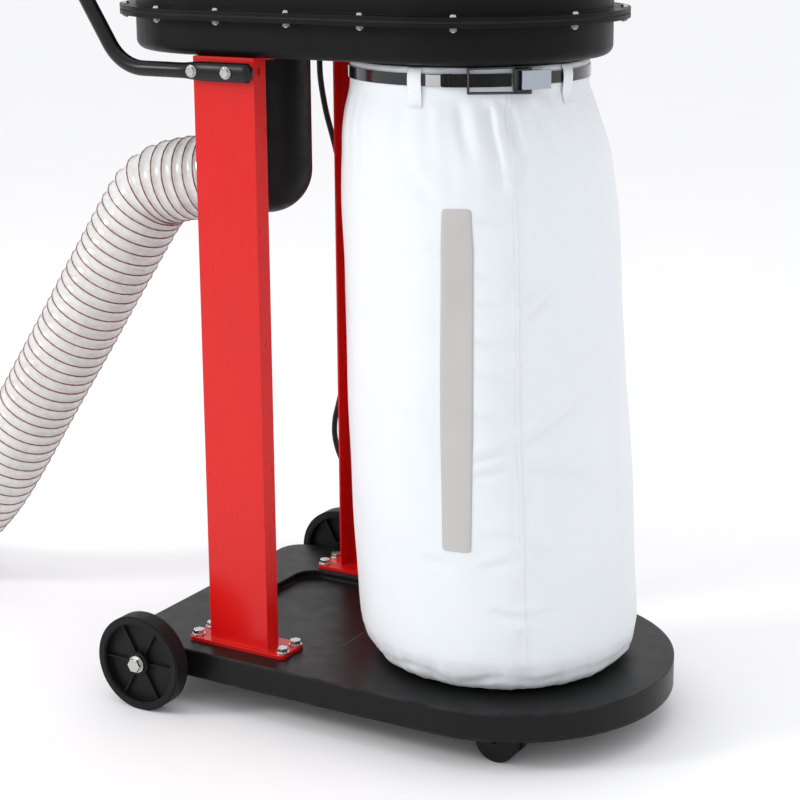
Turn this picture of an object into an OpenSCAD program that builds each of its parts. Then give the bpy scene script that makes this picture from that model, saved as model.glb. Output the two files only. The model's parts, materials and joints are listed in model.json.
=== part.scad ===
// Mobile dust collector: a wheeled base tray, two channel columns, a two-shell fan and separator head,
// a motor and a filter on top, a collection bag under a strap ring, and a flexible inlet hose.
// Millimetres. +Z is up, +X points to the bag end, and -Y is the right-hand side.
// The origin is on the floor, under the middle of the machine's outline without its hose and cord.

/* [Base tray] */
// Half the width of the tray, and the radius of its round front
base_half_w = 208; // [200:1:212]
// Height of the tray's top face above the floor
base_top = 75; // [73:1:80]
// Depth of the turned-down skirt
skirt_h = 36; // [32:1:38]
// Column centre to the tray's rear edge
base_rear = 165; // [160:1:175]
// Column centre to the centre of the tray's round front
front_centre = 303; // [298:1:310]
// Radius of the tray's rear corners
rear_corner_r = 35; // [20:1:45]

/* [Columns] */
// Width of a column's web
column_w = 88; // [80:1:96]
// Depth of a column's flanges
column_d = 25; // [20:1:30]
// Centre plane to the outer face of a column
column_out = 170.5; // [168:0.5:172]
// Length of a foot plate
foot_l = 145; // [140:1:150]

/* [Head] */
// Height of the head's underside
head_bottom = 828; // [820:1:835]
// Radius of the head's round ends, and half its width
head_r = 171; // [168:1:174]
// How far the flange stands out past the head
flange_out = 20; // [18:1:22]
// Height of the joint between the two shells
joint_z = 878; // [874:1:882]
// Height of the head's top deck
deck_z = 1010; // [1000:1:1020]
// Column centre to the centre of the head's round rear end
head_rear = -44; // [-48:1:-40]
// Column centre to the centre of the head's round front end
head_front = 245; // [242:1:250]

/* [Fan and motor] */
// Column centre to the fan axis
fan_offset = -54; // [-55:1:-52]
// Radius of the impeller
impeller_r = 112; // [100:1:116]
// Radius of the motor's shell, without its fins
motor_r = 68; // [64:1:70]

/* [Bag and filter] */
// Column centre to the axis of the bag ring and the filter
bag_offset = 243; // [242:1:246]
// Outer radius of the bag ring
bag_ring_r = 143; // [140:1:144]
// Height of the strap's lower edge
strap_z = 803; // [801:1:805]
// Width of the strap
strap_w = 14; // [12:1:16]
// Outer radius of the filter's pleats
filter_r = 172; // [160:1:176]
// Height of the pleated filter
filter_h = 560; // [480:10:640]

/* [Wheels] */
// Radius of a rear wheel
wheel_r = 62.5; // [60:0.5:63]
// Width of a rear wheel
wheel_w = 24; // [20:1:26]
// Column centre to the rear axle
axle_back = 100; // [98:1:101]
// Centre plane to the outer face of a rear wheel
wheel_out = 254; // [252:1:258]
// Radius of a caster wheel
caster_r = 28; // [25:1:28]

/* [Handle] */
// Diameter of the push handle's tube
handle_d = 19; // [18:1:22]
// Height of the handle's level part
handle_z = 811; // [809:1:812]
// Height of the handle's crossbar
crossbar_z = 1030; // [1020:5:1060]
// Angle at which the handle rises
handle_rise = 58; // [56:1:60]

/* [Hose] */
// Outer diameter of the hose
hose_d = 110; // [108:1:112]
// Radius of the elbow's body
elbow_r = 57.5; // [56:0.5:58]
// Height of the elbow's centre
elbow_z = 669; // [667:1:671]

/* [Hidden] */

$fn = 64;
sheet = 2;                  // base sheet
channel_t = 2.5;            // column sheet
wall = 3;                   // head shells
fit = 0.3;                  // gap between curved faces that only lie close
run = 0.05;                 // running clearance on a radius

// The handle's crossbar reaches furthest back and the tray's front furthest forward, so these set the origin.
handle_corner = -145;
crossbar_back = handle_corner - (crossbar_z - handle_z) / tan(handle_rise);
base_front = front_centre + base_half_w;
col_x = -(base_front + crossbar_back - handle_d / 2) / 2;
rear_x = col_x + head_rear;
head_x = col_x + head_front;
fan_x = col_x + fan_offset;
bag_x = col_x + bag_offset;
tray_x = col_x + front_centre;

// ---- shared shapes ----

// A plate with round ends of radius r, with its end centres at x0 and x1.
module stadium_2d(x0, x1, r) {
    translate([x0, -r]) square([x1 - x0, 2 * r]);
    for (x = [x0, x1]) translate([x, 0]) circle(r);
}

// Sweeps a half profile (x is the distance from the middle line) round a stadium's outline.
module stadium_sweep(x0, x1) {
    translate([x1, 0, 0]) rotate([0, 0, -90]) rotate_extrude(angle = 180) children();
    translate([x0, 0, 0]) rotate([0, 0, 90]) rotate_extrude(angle = 180) children();
    for (side = [0, 1]) translate([x0, 0, 0]) mirror([0, side, 0])
        rotate([90, 0, 90]) linear_extrude(x1 - x0) children();
}

module rounded_square(w, d, r) {
    for (x = [-1, 1], y = [-1, 1]) translate([x * (w / 2 - r), y * (d / 2 - r)]) circle(r);
    square([w - 2 * r, d], center = true);
    square([w, d - 2 * r], center = true);
}

// A hexagon head or nut with its axis on Z.
module hex(across, h) cylinder(r = across / sqrt(3), h = h, $fn = 6);

module ring(r_out, r_in, h) difference() {
    cylinder(r = r_out, h = h);
    translate([0, 0, -1]) cylinder(r = r_in, h = h + 2);
}

// Skin of triangles between rings of n points, listed from the first end to the last.
function ring_faces(count, n) = [for (i = [0 : count - 2], j = [0 : n - 1], half = [0, 1])
    let (a = i * n + j, b = i * n + (j + 1) % n)
    half == 0 ? [a, b, b + n] : [a, b + n, a + n]];

function unit(v) = v / norm(v);

// Direction of a route at point i.
function heading(p, i) = unit(p[min(i + 1, len(p) - 1)] - p[max(i - 1, 0)]);

// Ring of n points of radius r round point i of a route. The route is never parallel to the vector side.
function route_ring(p, i, r, n, side) =
    let (t = heading(p, i), a = unit(cross(t, side)), b = cross(t, a))
    [for (j = [0 : n - 1]) p[i] + r * (cos(360 * j / n) * a + sin(360 * j / n) * b)];

function flatten(l) = [for (a = l, b = a) b];

// Solid round tube along a route.
module swept_rod(p, r, n, side) {
    count = len(p);
    polyhedron(
        points = flatten([for (i = [0 : count - 1]) route_ring(p, i, r, n, side)]),
        faces = concat(ring_faces(count, n), [[for (j = [n - 1 : -1 : 0]) j]],
            [[for (j = [0 : n - 1]) (count - 1) * n + j]]),
        convexity = 8);
}

// Hollow tube along a route: out along the outer skin and back along the inner one.
module swept_pipe(p, r_out, r_in, n, side) {
    count = len(p);
    outer = [for (i = [0 : count - 1]) route_ring(p, i, r_out, n, side)];
    inner = [for (i = [count - 1 : -1 : 0]) route_ring(p, i, r_in, n, side)];
    points = flatten(concat(outer, inner, [outer[0]]));
    size = 2 * count * n;
    polyhedron(
        points = [for (i = [0 : size - 1]) points[i]],
        faces = [for (f = ring_faces(2 * count + 1, n)) [for (k = f) k % size]],
        convexity = 8);
}

// ---- base tray ----

recess_rear = -86;          // from the column centre
recess_front = 112;
recess_half_w = 121;
recess_d = 10;
caster_stem_x = 353;        // from the column centre
caster_stem_y = 149;
foot_hole_x = 65;
foot_hole_y = [138, 168];
foot_in = 128;              // centre plane to a foot plate's inner edge
foot_out = 180;
foot_t = 5;

module tray_outline(inset) {
    r = rear_corner_r - inset;
    back = col_x - base_rear + inset;
    half = base_half_w - inset;
    for (y = [-1, 1]) translate([back + r, y * (half - r)]) circle(r);
    translate([back, -(half - r)]) square([tray_x - back, 2 * (half - r)]);
    translate([back + r, -half]) square([tray_x - back - r, 2 * half]);
    translate([tray_x, 0]) circle(half);
}

module recess_outline(grow) translate([col_x + (recess_rear + recess_front) / 2, 0])
    rounded_square(recess_front - recess_rear + 2 * grow, 2 * (recess_half_w + grow), 30 + grow);

module base_tray() color([0.06, 0.06, 0.065]) difference() {
    union() {
        difference() {
            translate([0, 0, base_top - skirt_h]) linear_extrude(skirt_h) tray_outline(0);
            translate([0, 0, base_top - skirt_h - 1]) linear_extrude(skirt_h + 1 - sheet) tray_outline(sheet);
        }
        translate([0, 0, base_top - recess_d - sheet])
            linear_extrude(recess_d + sheet) recess_outline(sheet);
    }
    translate([0, 0, base_top - recess_d]) linear_extrude(recess_d + 1) recess_outline(0);
    for (x = [-1, 1], y = foot_hole_y, s = [-1, 1])
        translate([col_x + x * foot_hole_x, s * y, base_top - sheet - 1]) cylinder(r = 4.5, h = sheet + 2);
    for (s = [-1, 1])
        translate([col_x - axle_back, s * base_half_w, wheel_r]) rotate([90, 0, 0])
            cylinder(r = 6.1, h = 3 * sheet, center = true);
}

// ---- columns ----

column_foot_z = base_top + foot_t;
top_screw_x = [-30, 30];    // from the column centre
top_screw_y = 145;
handle_screw_x = [-35, 15];

module column() {
    translate([col_x, 0, 0]) {
        difference() {
            translate([-column_w / 2, -column_out, column_foot_z])
                cube([column_w, channel_t, head_bottom - column_foot_z]);
            for (x = handle_screw_x) translate([x, -column_out - 1, handle_z]) rotate([-90, 0, 0])
                cylinder(r = 3.3, h = channel_t + 2);
        }
        difference() {
            for (x = [-column_w / 2, column_w / 2 - channel_t])
                translate([x, -column_out, column_foot_z]) cube([channel_t, column_d, head_bottom - column_foot_z]);
            translate([column_w / 2 - channel_t - 1, -column_out + 9, handle_z - 4]) cube([channel_t + 2, 5, 9]);
        }
        translate([0, -(foot_in + foot_out) / 2, base_top]) difference() {
            linear_extrude(foot_t) rounded_square(foot_l, foot_out - foot_in, 6);
            for (x = [-1, 1], y = foot_hole_y)
                translate([x * foot_hole_x, (foot_in + foot_out) / 2 - y, -1]) cylinder(r = 4.5, h = foot_t + 2);
        }
        difference() {
            translate([-column_w / 2, -column_out, head_bottom - 4]) cube([column_w, 52, 4]);
            for (x = top_screw_x) translate([x, -top_screw_y, head_bottom - 5]) cylinder(r = 4.2, h = 6);
        }
    }
}

module right_column() color([0.78, 0.06, 0.05]) column();
module left_column() color([0.78, 0.06, 0.05]) mirror([0, 1, 0]) column();

module at_foot_holes() for (x = [-1, 1], y = foot_hole_y, s = [-1, 1])
    translate([col_x + x * foot_hole_x, s * y, base_top]) children();

washer_t = 1.6;

module foot_bolts() color("silver") at_foot_holes() {
    translate([0, 0, foot_t + washer_t]) hex(13, 5.3);
    translate([0, 0, -14]) cylinder(r = 4, h = 14 + foot_t + washer_t);
}
module foot_washers() color("silver") at_foot_holes() translate([0, 0, foot_t]) ring(8.5, 4.2, washer_t);
module foot_nuts() color("silver") at_foot_holes() translate([0, 0, -sheet - 6.5]) difference() {
    hex(13, 6.5);
    translate([0, 0, -1]) cylinder(r = 4 + run, h = 9);
}

module column_top_screws() color("silver") for (x = top_screw_x, s = [-1, 1])
    translate([col_x + x, s * top_screw_y, head_bottom - 4]) {
        translate([0, 0, -5.3]) hex(13, 5.3);
        cylinder(r = 4, h = 16);
        translate([0, 0, 4 + wall]) hex(13, 6.5);
    }

// ---- head ----

edge_r = 12;                // rounding of the lower shell's bottom edge
deck_r = 24;                // rounding of the upper shell's top edge
gasket_t = 2;
flange_t = 5;
screw_line = head_r + 12;
inlet_r = 50;
lower_top = joint_z - gasket_t / 2;
upper_bottom = joint_z + gasket_t / 2;
volute_t = 2.5;

// Outline of a shell's side, with its outer rounded edge at the bottom, from the middle line outwards.
module shell_half(r, h, round_r) {
    translate([r - 40, 0]) square([40 - round_r, h]);
    translate([r - 40, round_r]) square([40, h - round_r]);
    translate([r - round_r, round_r]) circle(round_r);
}

module shell_side(r, h, round_r) difference() {
    shell_half(r, h, round_r);
    translate([0, wall]) shell_half(r - wall, h, round_r - wall);
    translate([0, wall]) square([r - 39, h]);
}

module flange_plate() difference() {
    linear_extrude(flange_t) difference() {
        stadium_2d(rear_x, head_x, head_r + flange_out);
        stadium_2d(rear_x, head_x, head_r - wall);
    }
    at_flange_holes() translate([0, 0, -1]) cylinder(r = 2.8, h = flange_t + 2);
}

// The flange's fasteners: three along each side, four round the front and five round the rear.
module at_flange_holes() {
    for (x = [0, 100, 200], s = [-1, 1]) translate([col_x + x, s * screw_line, 0]) children();
    for (a = [-68, -22, 22, 68])
        translate([head_x + screw_line * cos(a), screw_line * sin(a), 0]) children();
    for (a = [105, 142, 180, 218, 255])
        translate([rear_x + screw_line * cos(a), screw_line * sin(a), 0]) children();
}

module lower_housing() color([0.05, 0.05, 0.055]) difference() {
    union() {
        translate([0, 0, head_bottom]) {
            stadium_sweep(rear_x, head_x) shell_side(head_r, lower_top - head_bottom, edge_r);
            linear_extrude(wall) stadium_2d(rear_x, head_x, head_r - 38);
        }
        translate([0, 0, lower_top - flange_t]) flange_plate();
    }
    translate([bag_x, 0, head_bottom - 1]) cylinder(r = bag_ring_r - 5, h = wall + 2);
    translate([fan_x, 0, head_bottom - 1]) cylinder(r = inlet_r, h = wall + 2);
    for (x = top_screw_x, s = [-1, 1])
        translate([col_x + x, s * top_screw_y, head_bottom - 1]) cylinder(r = 4.2, h = wall + 2);
    translate([col_x + gland_x, gland_y, head_bottom - 1]) cylinder(r = 6.2, h = wall + 2);
}

module flange_gasket() color([0.12, 0.12, 0.12]) translate([0, 0, lower_top]) difference() {
    linear_extrude(gasket_t) difference() {
        stadium_2d(rear_x, head_x, head_r + flange_out - 1);
        stadium_2d(rear_x, head_x, head_r - wall);
    }
    at_flange_holes() translate([0, 0, -1]) cylinder(r = 2.8, h = gasket_t + 2);
}

module upper_housing() color([0.05, 0.05, 0.055]) difference() {
    union() {
        translate([0, 0, deck_z]) mirror([0, 0, 1]) {
            stadium_sweep(rear_x, head_x) shell_side(head_r, deck_z - upper_bottom, deck_r);
            linear_extrude(wall) stadium_2d(rear_x, head_x, head_r - 38);
        }
        translate([0, 0, upper_bottom]) flange_plate();
        translate([bag_x, 0, deck_z - 1]) ring(collar_r, collar_r - wall, collar_h + 1);
    }
    translate([bag_x, 0, deck_z - wall - 1]) cylinder(r = collar_r - wall, h = wall + 2);
    translate([fan_x, 0, deck_z - wall - 1]) cylinder(r = 30, h = wall + 2);
    at_motor_bolts() translate([0, 0, -wall - 1]) cylinder(r = 4.2, h = wall + 2);
    translate([fan_x, switch_y, deck_z - wall - 1]) cylinder(r = 6, h = wall + 2);
}

module flange_screws() color("silver") at_flange_holes() {
    translate([0, 0, upper_bottom + flange_t]) cylinder(r1 = 4.7, r2 = 3.2, h = 2.8);
    translate([0, 0, lower_top - flange_t - 5.2]) cylinder(r = 2.5, h = upper_bottom - lower_top + 2 * flange_t + 5.2);
}

module flange_nuts() color("silver") at_flange_holes() translate([0, 0, lower_top - flange_t - 4]) difference() {
    hex(8, 4);
    translate([0, 0, -1]) cylinder(r = 2.5 + run, h = 6);
}

// ---- fan ----

volute_steps = 48;
volute_start = 118;         // distance from the fan axis where the spiral begins
volute_grow = 20;           // how much further out it is after a full turn
volute_end = 330;           // the spiral stops here and leaves the mouth to the separator open

function spiral(extra) = [for (i = [0 : volute_steps])
    let (a = volute_end * i / volute_steps, r = volute_start + extra + volute_grow * a / 360)
    [r * cos(a + 20), r * sin(a + 20)]];

module volute() color([0.3, 0.3, 0.31]) translate([fan_x, 0, head_bottom + wall])
    linear_extrude(deck_z - head_bottom - 2 * wall)
        polygon(concat(spiral(volute_t), [for (i = [volute_steps : -1 : 0]) spiral(0)[i]]));

blade_z = head_bottom + 16;
blade_h = 62;
back_z = blade_z + blade_h;

module impeller() color([0.55, 0.56, 0.58]) translate([fan_x, 0, 0]) difference() {
    union() {
        translate([0, 0, back_z]) cylinder(r = impeller_r, h = 3);
        translate([0, 0, back_z - 30]) cylinder(r = 20, h = 45);
        for (a = [0 : 45 : 315]) rotate([0, 0, a])
            translate([18, 6, blade_z + 4]) cube([impeller_r - 22, 2.5, blade_h - 3]);
    }
    translate([0, 0, blade_z]) cylinder(r = shaft_r, h = blade_h + 30);
}

// ---- motor ----

shaft_r = 9.5;
motor_z = deck_z + 8;       // top of the mounting flange
motor_l = 150;
fin_count = 24;
fin_h = 7;
shield_t = 12;
cowl_z = motor_z + motor_l + shield_t;
cowl_h = 48;
cowl_r = motor_r + 9;
pad_y = motor_r + fin_h + 2; // the capacitor box sits on this pad

module at_motor_bolts() for (a = [45 : 90 : 315])
    translate([fan_x + 88 * cos(a), 88 * sin(a), deck_z]) children();

// Cross-section of the finned shell: each fin is a narrow tooth.
function fin_outline() = [for (i = [0 : fin_count - 1], k = [0 : 3])
    let (a = 360 * (i + [-0.2, -0.14, 0.14, 0.2][k]) / fin_count,
        r = (k == 0 || k == 3) ? motor_r : motor_r + fin_h)
    [r * cos(a), r * sin(a)]];

module motor_housing() color([0.16, 0.16, 0.17]) translate([fan_x, 0, 0]) difference() {
    union() {
        translate([0, 0, motor_z + shield_t - 8]) linear_extrude(motor_l - 4) polygon(fin_outline());
        translate([-20, 50, motor_z + 54]) cube([40, pad_y - 50, 76]);
    }
    translate([0, 0, motor_z + shield_t - 9]) cylinder(r = motor_r - 5, h = motor_l);
}

module motor_stator() color([0.5, 0.28, 0.12]) translate([fan_x, 0, motor_z + 35])
    ring(motor_r - 5 - run, 42, 90);

module motor_end_shields() color([0.2, 0.2, 0.21]) translate([fan_x, 0, 0]) {
    difference() {
        union() {
            translate([0, 0, deck_z]) cylinder(r = 100, h = 8);
            translate([0, 0, motor_z]) cylinder(r = motor_r + fin_h, h = shield_t - 8);
        }
        translate([0, 0, deck_z - 1]) cylinder(r = shaft_r + 1, h = 30);
        translate([0, 0, motor_z - 4]) cylinder(r = 21, h = 30);
        translate([-fan_x, 0, 0]) at_motor_bolts() translate([0, 0, -1]) cylinder(r = 4.2, h = 10);
    }
    difference() {
        translate([0, 0, motor_z + motor_l]) cylinder(r = motor_r + fin_h, h = shield_t);
        translate([0, 0, motor_z + motor_l - 1]) cylinder(r = 21, h = shield_t - 1);
        translate([0, 0, motor_z + motor_l - 1]) cylinder(r = shaft_r + 1, h = shield_t + 2);
    }
}

module motor_bearings() color([0.75, 0.75, 0.77]) for (z = [motor_z - 4, motor_z + motor_l - 3])
    translate([fan_x, 0, z]) ring(21, shaft_r + run, 12);

module motor_shaft() color([0.7, 0.7, 0.72]) translate([fan_x, 0, 0]) {
    translate([0, 0, blade_z + 20]) cylinder(r = shaft_r, h = cowl_z + 26 - blade_z - 20);
    translate([0, 0, motor_z + 38]) ring(41, shaft_r, 84);
}

module motor_fan() color([0.1, 0.1, 0.1]) translate([fan_x, 0, cowl_z + 6]) difference() {
    union() {
        cylinder(r = 16, h = 18);
        for (a = [0 : 60 : 300]) rotate([0, 0, a]) translate([12, -1.5, 2]) cube([44, 3, 14]);
    }
    translate([0, 0, -1]) cylinder(r = shaft_r, h = 20);
}

module motor_fan_cowl() color([0.05, 0.05, 0.055]) translate([fan_x, 0, cowl_z]) difference() {
    union() {
        translate([0, 0, -8]) cylinder(r = cowl_r, h = cowl_h - 2);
        translate([0, 0, cowl_h - 10]) rotate_extrude() {
            square([cowl_r - 10, 10]);
            translate([cowl_r - 10, 0]) intersection() {
                circle(10);
                square(10);
            }
        }
    }
    translate([0, 0, -9]) cylinder(r = cowl_r - 2, h = cowl_h - 1);
    for (r = [22, 34, 46], a = [0 : 45 : 315]) rotate([0, 0, a])
        rotate_extrude(angle = 34) translate([r, cowl_h - 20]) square([6, 30]);
}

module motor_bolts() color("silver") at_motor_bolts() {
    translate([0, 0, 8]) hex(13, 5.3);
    translate([0, 0, -wall - 10]) cylinder(r = 4, h = wall + 18);
    translate([0, 0, -wall - 6.5]) hex(13, 6.5);
}

module capacitor_box() color([0.08, 0.08, 0.085]) translate([fan_x, pad_y, motor_z + 50]) {
    translate([-26, 0, 0]) cube([52, 34, 84]);
    translate([0, 17, 84]) cylinder(r1 = 13, r2 = 10, h = 10);
}

switch_y = -126;
switch_w = 74;
switch_d = 40;
switch_h = 96;
button_y = switch_y - switch_d / 2;
start_z = deck_z + 66;
stop_z = deck_z + 30;
button_travel = 3;

module button_seats(r, depth) {
    for (z = [start_z, stop_z]) translate([fan_x, button_y, z]) rotate([90, 0, 0])
        translate([0, 0, -depth]) cylinder(r = r, h = depth + 1);
}

module switch_box() color([0.08, 0.08, 0.085]) difference() {
    translate([fan_x, switch_y, deck_z]) linear_extrude(switch_h) rounded_square(switch_w, switch_d, 7);
    button_seats(13 + fit, 14);
    translate([fan_x, switch_y, deck_z - 1]) cylinder(r = 6, h = 20);
}

module button(z, tone) color(tone) translate([fan_x, button_y, z]) rotate([90, 0, 0])
    translate([0, 0, -13 + button_travel + 0.5]) cylinder(r = 13, h = 14);

module start_button() button(start_z, [0.05, 0.5, 0.15]);
module stop_button() button(stop_z, [0.75, 0.04, 0.04]);

// ---- bag, ring, strap and latch ----

bag_top = head_bottom - 4;
bag_t = 1;
bag_sides = 40;
// Height, axis (from the ring's axis) and outer radius of the filled bag, from its mouth to its base.
bag_rings = [[bag_top, 0, 145], [791, 0, 145], [778, 1.5, 149], [760, 4, 155], [736, 8, 161.5], [711, 12, 166],
    [670, 15, 169], [623, 18, 171], [523, 22, 172.5], [396, 27.5, 174.6], [268, 34, 174.8], [139, 40, 173.7],
    [112, 42, 170], [92, 43, 160], [79, 44, 144], [base_top + 0.3, 44, 122]];

function bag_ring_points(k, inset, lift) = let (b = bag_rings[k])
    [for (j = [0 : bag_sides - 1]) let (a = 360 * j / bag_sides)
        [bag_x + b[1] + (b[2] - inset) * cos(a), (b[2] - inset) * sin(a), b[0] + lift]];

module bag_ring() color([0.1, 0.1, 0.1]) translate([bag_x, 0, 0]) {
    translate([0, 0, strap_z - 10]) ring(bag_ring_r, bag_ring_r - 2, head_bottom - strap_z + 10);
    translate([0, 0, strap_z - 10]) ring(bag_ring_r + 0.5, bag_ring_r - 2, 3);
}

module collection_bag() color([0.93, 0.94, 0.97]) {
    count = len(bag_rings);
    points = flatten(concat(
        [for (k = [count - 1 : -1 : 0]) bag_ring_points(k, 0, 0)],
        [for (k = [0 : count - 1]) bag_ring_points(k, bag_t, k == count - 1 ? bag_t : 0)]));
    rings = 2 * count;
    polyhedron(points = points,
        faces = concat(ring_faces(rings, bag_sides), [[for (j = [bag_sides - 1 : -1 : 0]) j]],
            [[for (j = [0 : bag_sides - 1]) (rings - 1) * bag_sides + j]]),
        convexity = 6);
}

// The window is a strip of clear film on the bag's surface, between two heights.
window_x = [296, 337];      // from the column centre
window_z = [259, 666];
window_steps = 8;

function bag_at(z, column) = lookup(z, [for (b = bag_rings) [b[0], b[column]]]);

function window_row(z, off) = let (c = bag_offset + bag_at(z, 1), r = bag_at(z, 2) + off)
    [for (s = [0 : 4]) let (x = window_x[0] + (window_x[1] - window_x[0]) * s / 4 - c)
        [col_x + c + x, -sqrt(r * r - x * x), z]];

module bag_window() color([0.6, 0.6, 0.6]) {
    rows = [for (i = [0 : window_steps]) window_z[0] + (window_z[1] - window_z[0]) * i / window_steps];
    points = flatten([for (z = rows) concat(window_row(z, 1.2), [for (k = [4 : -1 : 0]) window_row(z, 0.4)[k]])]);
    polyhedron(points = points,
        faces = concat(ring_faces(len(rows), 10), [[for (j = [9 : -1 : 0]) j]],
            [[for (j = [0 : 9]) window_steps * 10 + j]]),
        convexity = 4);
}

strap_r = 145 + fit;        // inside of the strap
strap_t = 1.5;
rack_a = -74;               // the rack's ends and the strap's two ends, as angles about the ring's axis
rack_end_a = -43;
strap_start_a = -34;
strap_end_a = -62;
tooth_a = 2.3;              // pitch of the rack's teeth
latch_r = strap_r + strap_t + fit;
rack_t = 3;
rack_w = 15;
hinge_a = -38;
hinge_out = 8;              // hinge pin, outwards from the strap
bail_out = 8;               // bail pin, from the hinge pin
bail_wire = 1.6;
bail_a = rack_a + 5 * tooth_a + 0.2; // the bail's bar lies between two teeth
bail_r = latch_r + rack_t + bail_wire + 0.1;
latch_mid = strap_z + strap_w / 2;
pin_r = 2;

module bag_strap() color([0.04, 0.04, 0.045]) translate([bag_x, 0, strap_z])
    rotate([0, 0, strap_start_a]) rotate_extrude(angle = 360 + strap_end_a - strap_start_a)
        translate([strap_r, 0]) square([strap_t, strap_w]);

module latch_rack() color([0.1, 0.1, 0.1]) translate([bag_x, 0, latch_mid]) {
    rotate([0, 0, rack_a]) rotate_extrude(angle = rack_end_a - rack_a)
        translate([latch_r, -rack_w / 2]) square([rack_t, rack_w]);
    for (i = [0 : 9]) rotate([0, 0, rack_a + (i + 0.5) * tooth_a + 0.2])
        translate([latch_r + rack_t - 0.5, -0.9, 0.5 - rack_w / 2]) cube([2, 1.8, rack_w - 1]);
}

// Puts a piece on the latch's own axes: X runs along the strap and Y outwards, from the hinge pin.
module at_latch() translate([bag_x, 0, latch_mid]) rotate([0, 0, hinge_a + 90])
    translate([0, -(latch_r + hinge_out), 0]) mirror([0, 1, 0]) children();

ear_z = 11.2;               // latch middle to the inner face of an ear
ear_t = 1.6;
lever_l = 31;

module latch_base() color([0.08, 0.08, 0.085]) {
    at_latch() difference() {
        union() {
            translate([-11, 0.3 - hinge_out, -ear_z - ear_t]) cube([22, 2.5, 2 * (ear_z + ear_t)]);
            for (z = [-ear_z - ear_t, ear_z]) translate([-11, 0.3 - hinge_out, z]) cube([15.5, hinge_out + 3.5, ear_t]);
        }
        cylinder(r = pin_r - 0.5, h = 40, center = true);
    }
    at_latch() cylinder(r = pin_r, h = 2 * (ear_z + ear_t), center = true);
}

// The pressed lever: a tube round the hinge pin, a top plate with a curled tip, and two side flanges.
module latch_lever() color([0.72, 0.72, 0.74]) at_latch() difference() {
    union() {
        cylinder(r = 3.6, h = 2 * ear_z - 0.8, center = true);
        translate([0, 1.6, 0.4 - ear_z]) cube([lever_l, 2, 2 * ear_z - 0.8]);
        for (z = [0.4 - ear_z, ear_z - 2]) translate([5, -3.2, z]) cube([lever_l - 12, 6, 1.6]);
        translate([lever_l, 1.6, 0]) cylinder(r = 2, h = 2 * ear_z - 0.8, center = true);
    }
    cylinder(r = pin_r + run, h = 40, center = true);
    translate([bail_out, 0, 0]) cylinder(r = bail_wire + run, h = 40, center = true);
}

module latch_bail() color([0.3, 0.3, 0.32]) at_latch() {
    turn = hinge_a - bail_a;
    back_x = -bail_r * sin(turn);
    back_y = bail_r * cos(turn) - latch_r - hinge_out;
    leg_z = ear_z + ear_t + bail_wire + 0.5;
    back_z = rack_w / 2 + 6.5;
    for (s = [-1, 1]) hull() {
        translate([back_x, back_y, s * back_z]) sphere(r = bail_wire, $fn = 24);
        translate([bail_out, 0, s * leg_z]) sphere(r = bail_wire, $fn = 24);
    }
    translate([bail_out, 0, 0]) cylinder(r = bail_wire, h = 2 * leg_z, center = true);
    translate([back_x, back_y, 0]) cylinder(r = bail_wire, h = 2 * back_z, center = true);
}

// ---- inlet elbow and hose ----

spigot_l = 124;             // from the elbow's centre to the spigot's end
spigot_tilt = 10;           // the spigot and the start of the hose point down by this angle
hose_from = 60;             // from the elbow's centre to where the hose starts

// Puts a piece on the spigot's axis, with its own Z pointing out of the elbow.
module on_spigot() translate([fan_x, 0, elbow_z]) rotate([0, -90 - spigot_tilt, 0]) children();

module elbow_body(r, spigot_r, spigot_to) {
    translate([fan_x, 0, elbow_z]) cylinder(r = r, h = head_bottom - elbow_z);
    translate([fan_x, 0, elbow_z]) sphere(r);
    on_spigot() cylinder(r = spigot_r, h = spigot_to);
}

module inlet_elbow() color([0.05, 0.05, 0.055]) difference() {
    union() {
        elbow_body(elbow_r, inlet_r, spigot_l);
        translate([fan_x, 0, head_bottom - 5]) cylinder(r = elbow_r + 14, h = 5);
    }
    elbow_body(elbow_r - wall, inlet_r - wall, spigot_l + 1);
    translate([fan_x, 0, head_bottom - 10]) cylinder(r = elbow_r - wall, h = 12);
}

// Middle line of the hose beyond the spigot, from the column centre in x and above the floor in z.
hose_route = [[-209, 640], [-233, 629], [-252, 611], [-277, 577], [-309, 530], [-344, 479], [-380, 425],
    [-417, 371], [-454, 317], [-491, 262], [-527, 209], [-563, 161], [-604, 118], [-655, 83], [-713, 63],
    [-776, 57.5], [-842, 56.5], [-908, 56.5], [-974, 56.5], [-1040, 56.5], [-1106, 57.5], [-1168, 59.6],
    [-1230, 59.6]];
hose_skin = hose_d / 2 + 0.9;
hose_n = 12;

function spigot_point(d) = [fan_x - d * cos(spigot_tilt), 0, elbow_z - d * sin(spigot_tilt)];

hose_points = concat([for (d = [hose_from, 93, spigot_l + 2]) spigot_point(d)],
    [for (p = hose_route) [col_x + p[0], 0, p[1]]]);
hose_end = hose_points[len(hose_points) - 1];

module hose() color([0.78, 0.78, 0.76]) swept_pipe(hose_points, hose_skin, hose_skin - 3.2, hose_n, [0, 1, 0]);

cuff_bore = 51;
cuff_r = 59.5;
cuff_sleeve = 46;
cuff_l = 58;

// The cuff's sleeve goes over the hose's end, and its bore takes a machine's dust port.
module hose_cuff() color([0.05, 0.05, 0.055]) translate(hose_end) rotate([0, -90, 0]) rotate_extrude() {
    translate([hose_skin + fit, -cuff_sleeve]) square([cuff_r - hose_skin - fit, cuff_sleeve + 6]);
    translate([cuff_bore, 0]) square([cuff_r - cuff_bore, 6]);
    translate([cuff_bore, 0]) square([5, cuff_l]);
}

module hose_clamp() color([0.7, 0.7, 0.72]) on_spigot() translate([0, 0, hose_from + 2]) {
    ring(hose_skin + 1.8, hose_skin + fit, 12);
    translate([hose_skin + 4, 0, 6]) rotate([90, 0, 0]) cylinder(r = 4.5, h = 26, center = true);
}

// ---- handle ----

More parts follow.
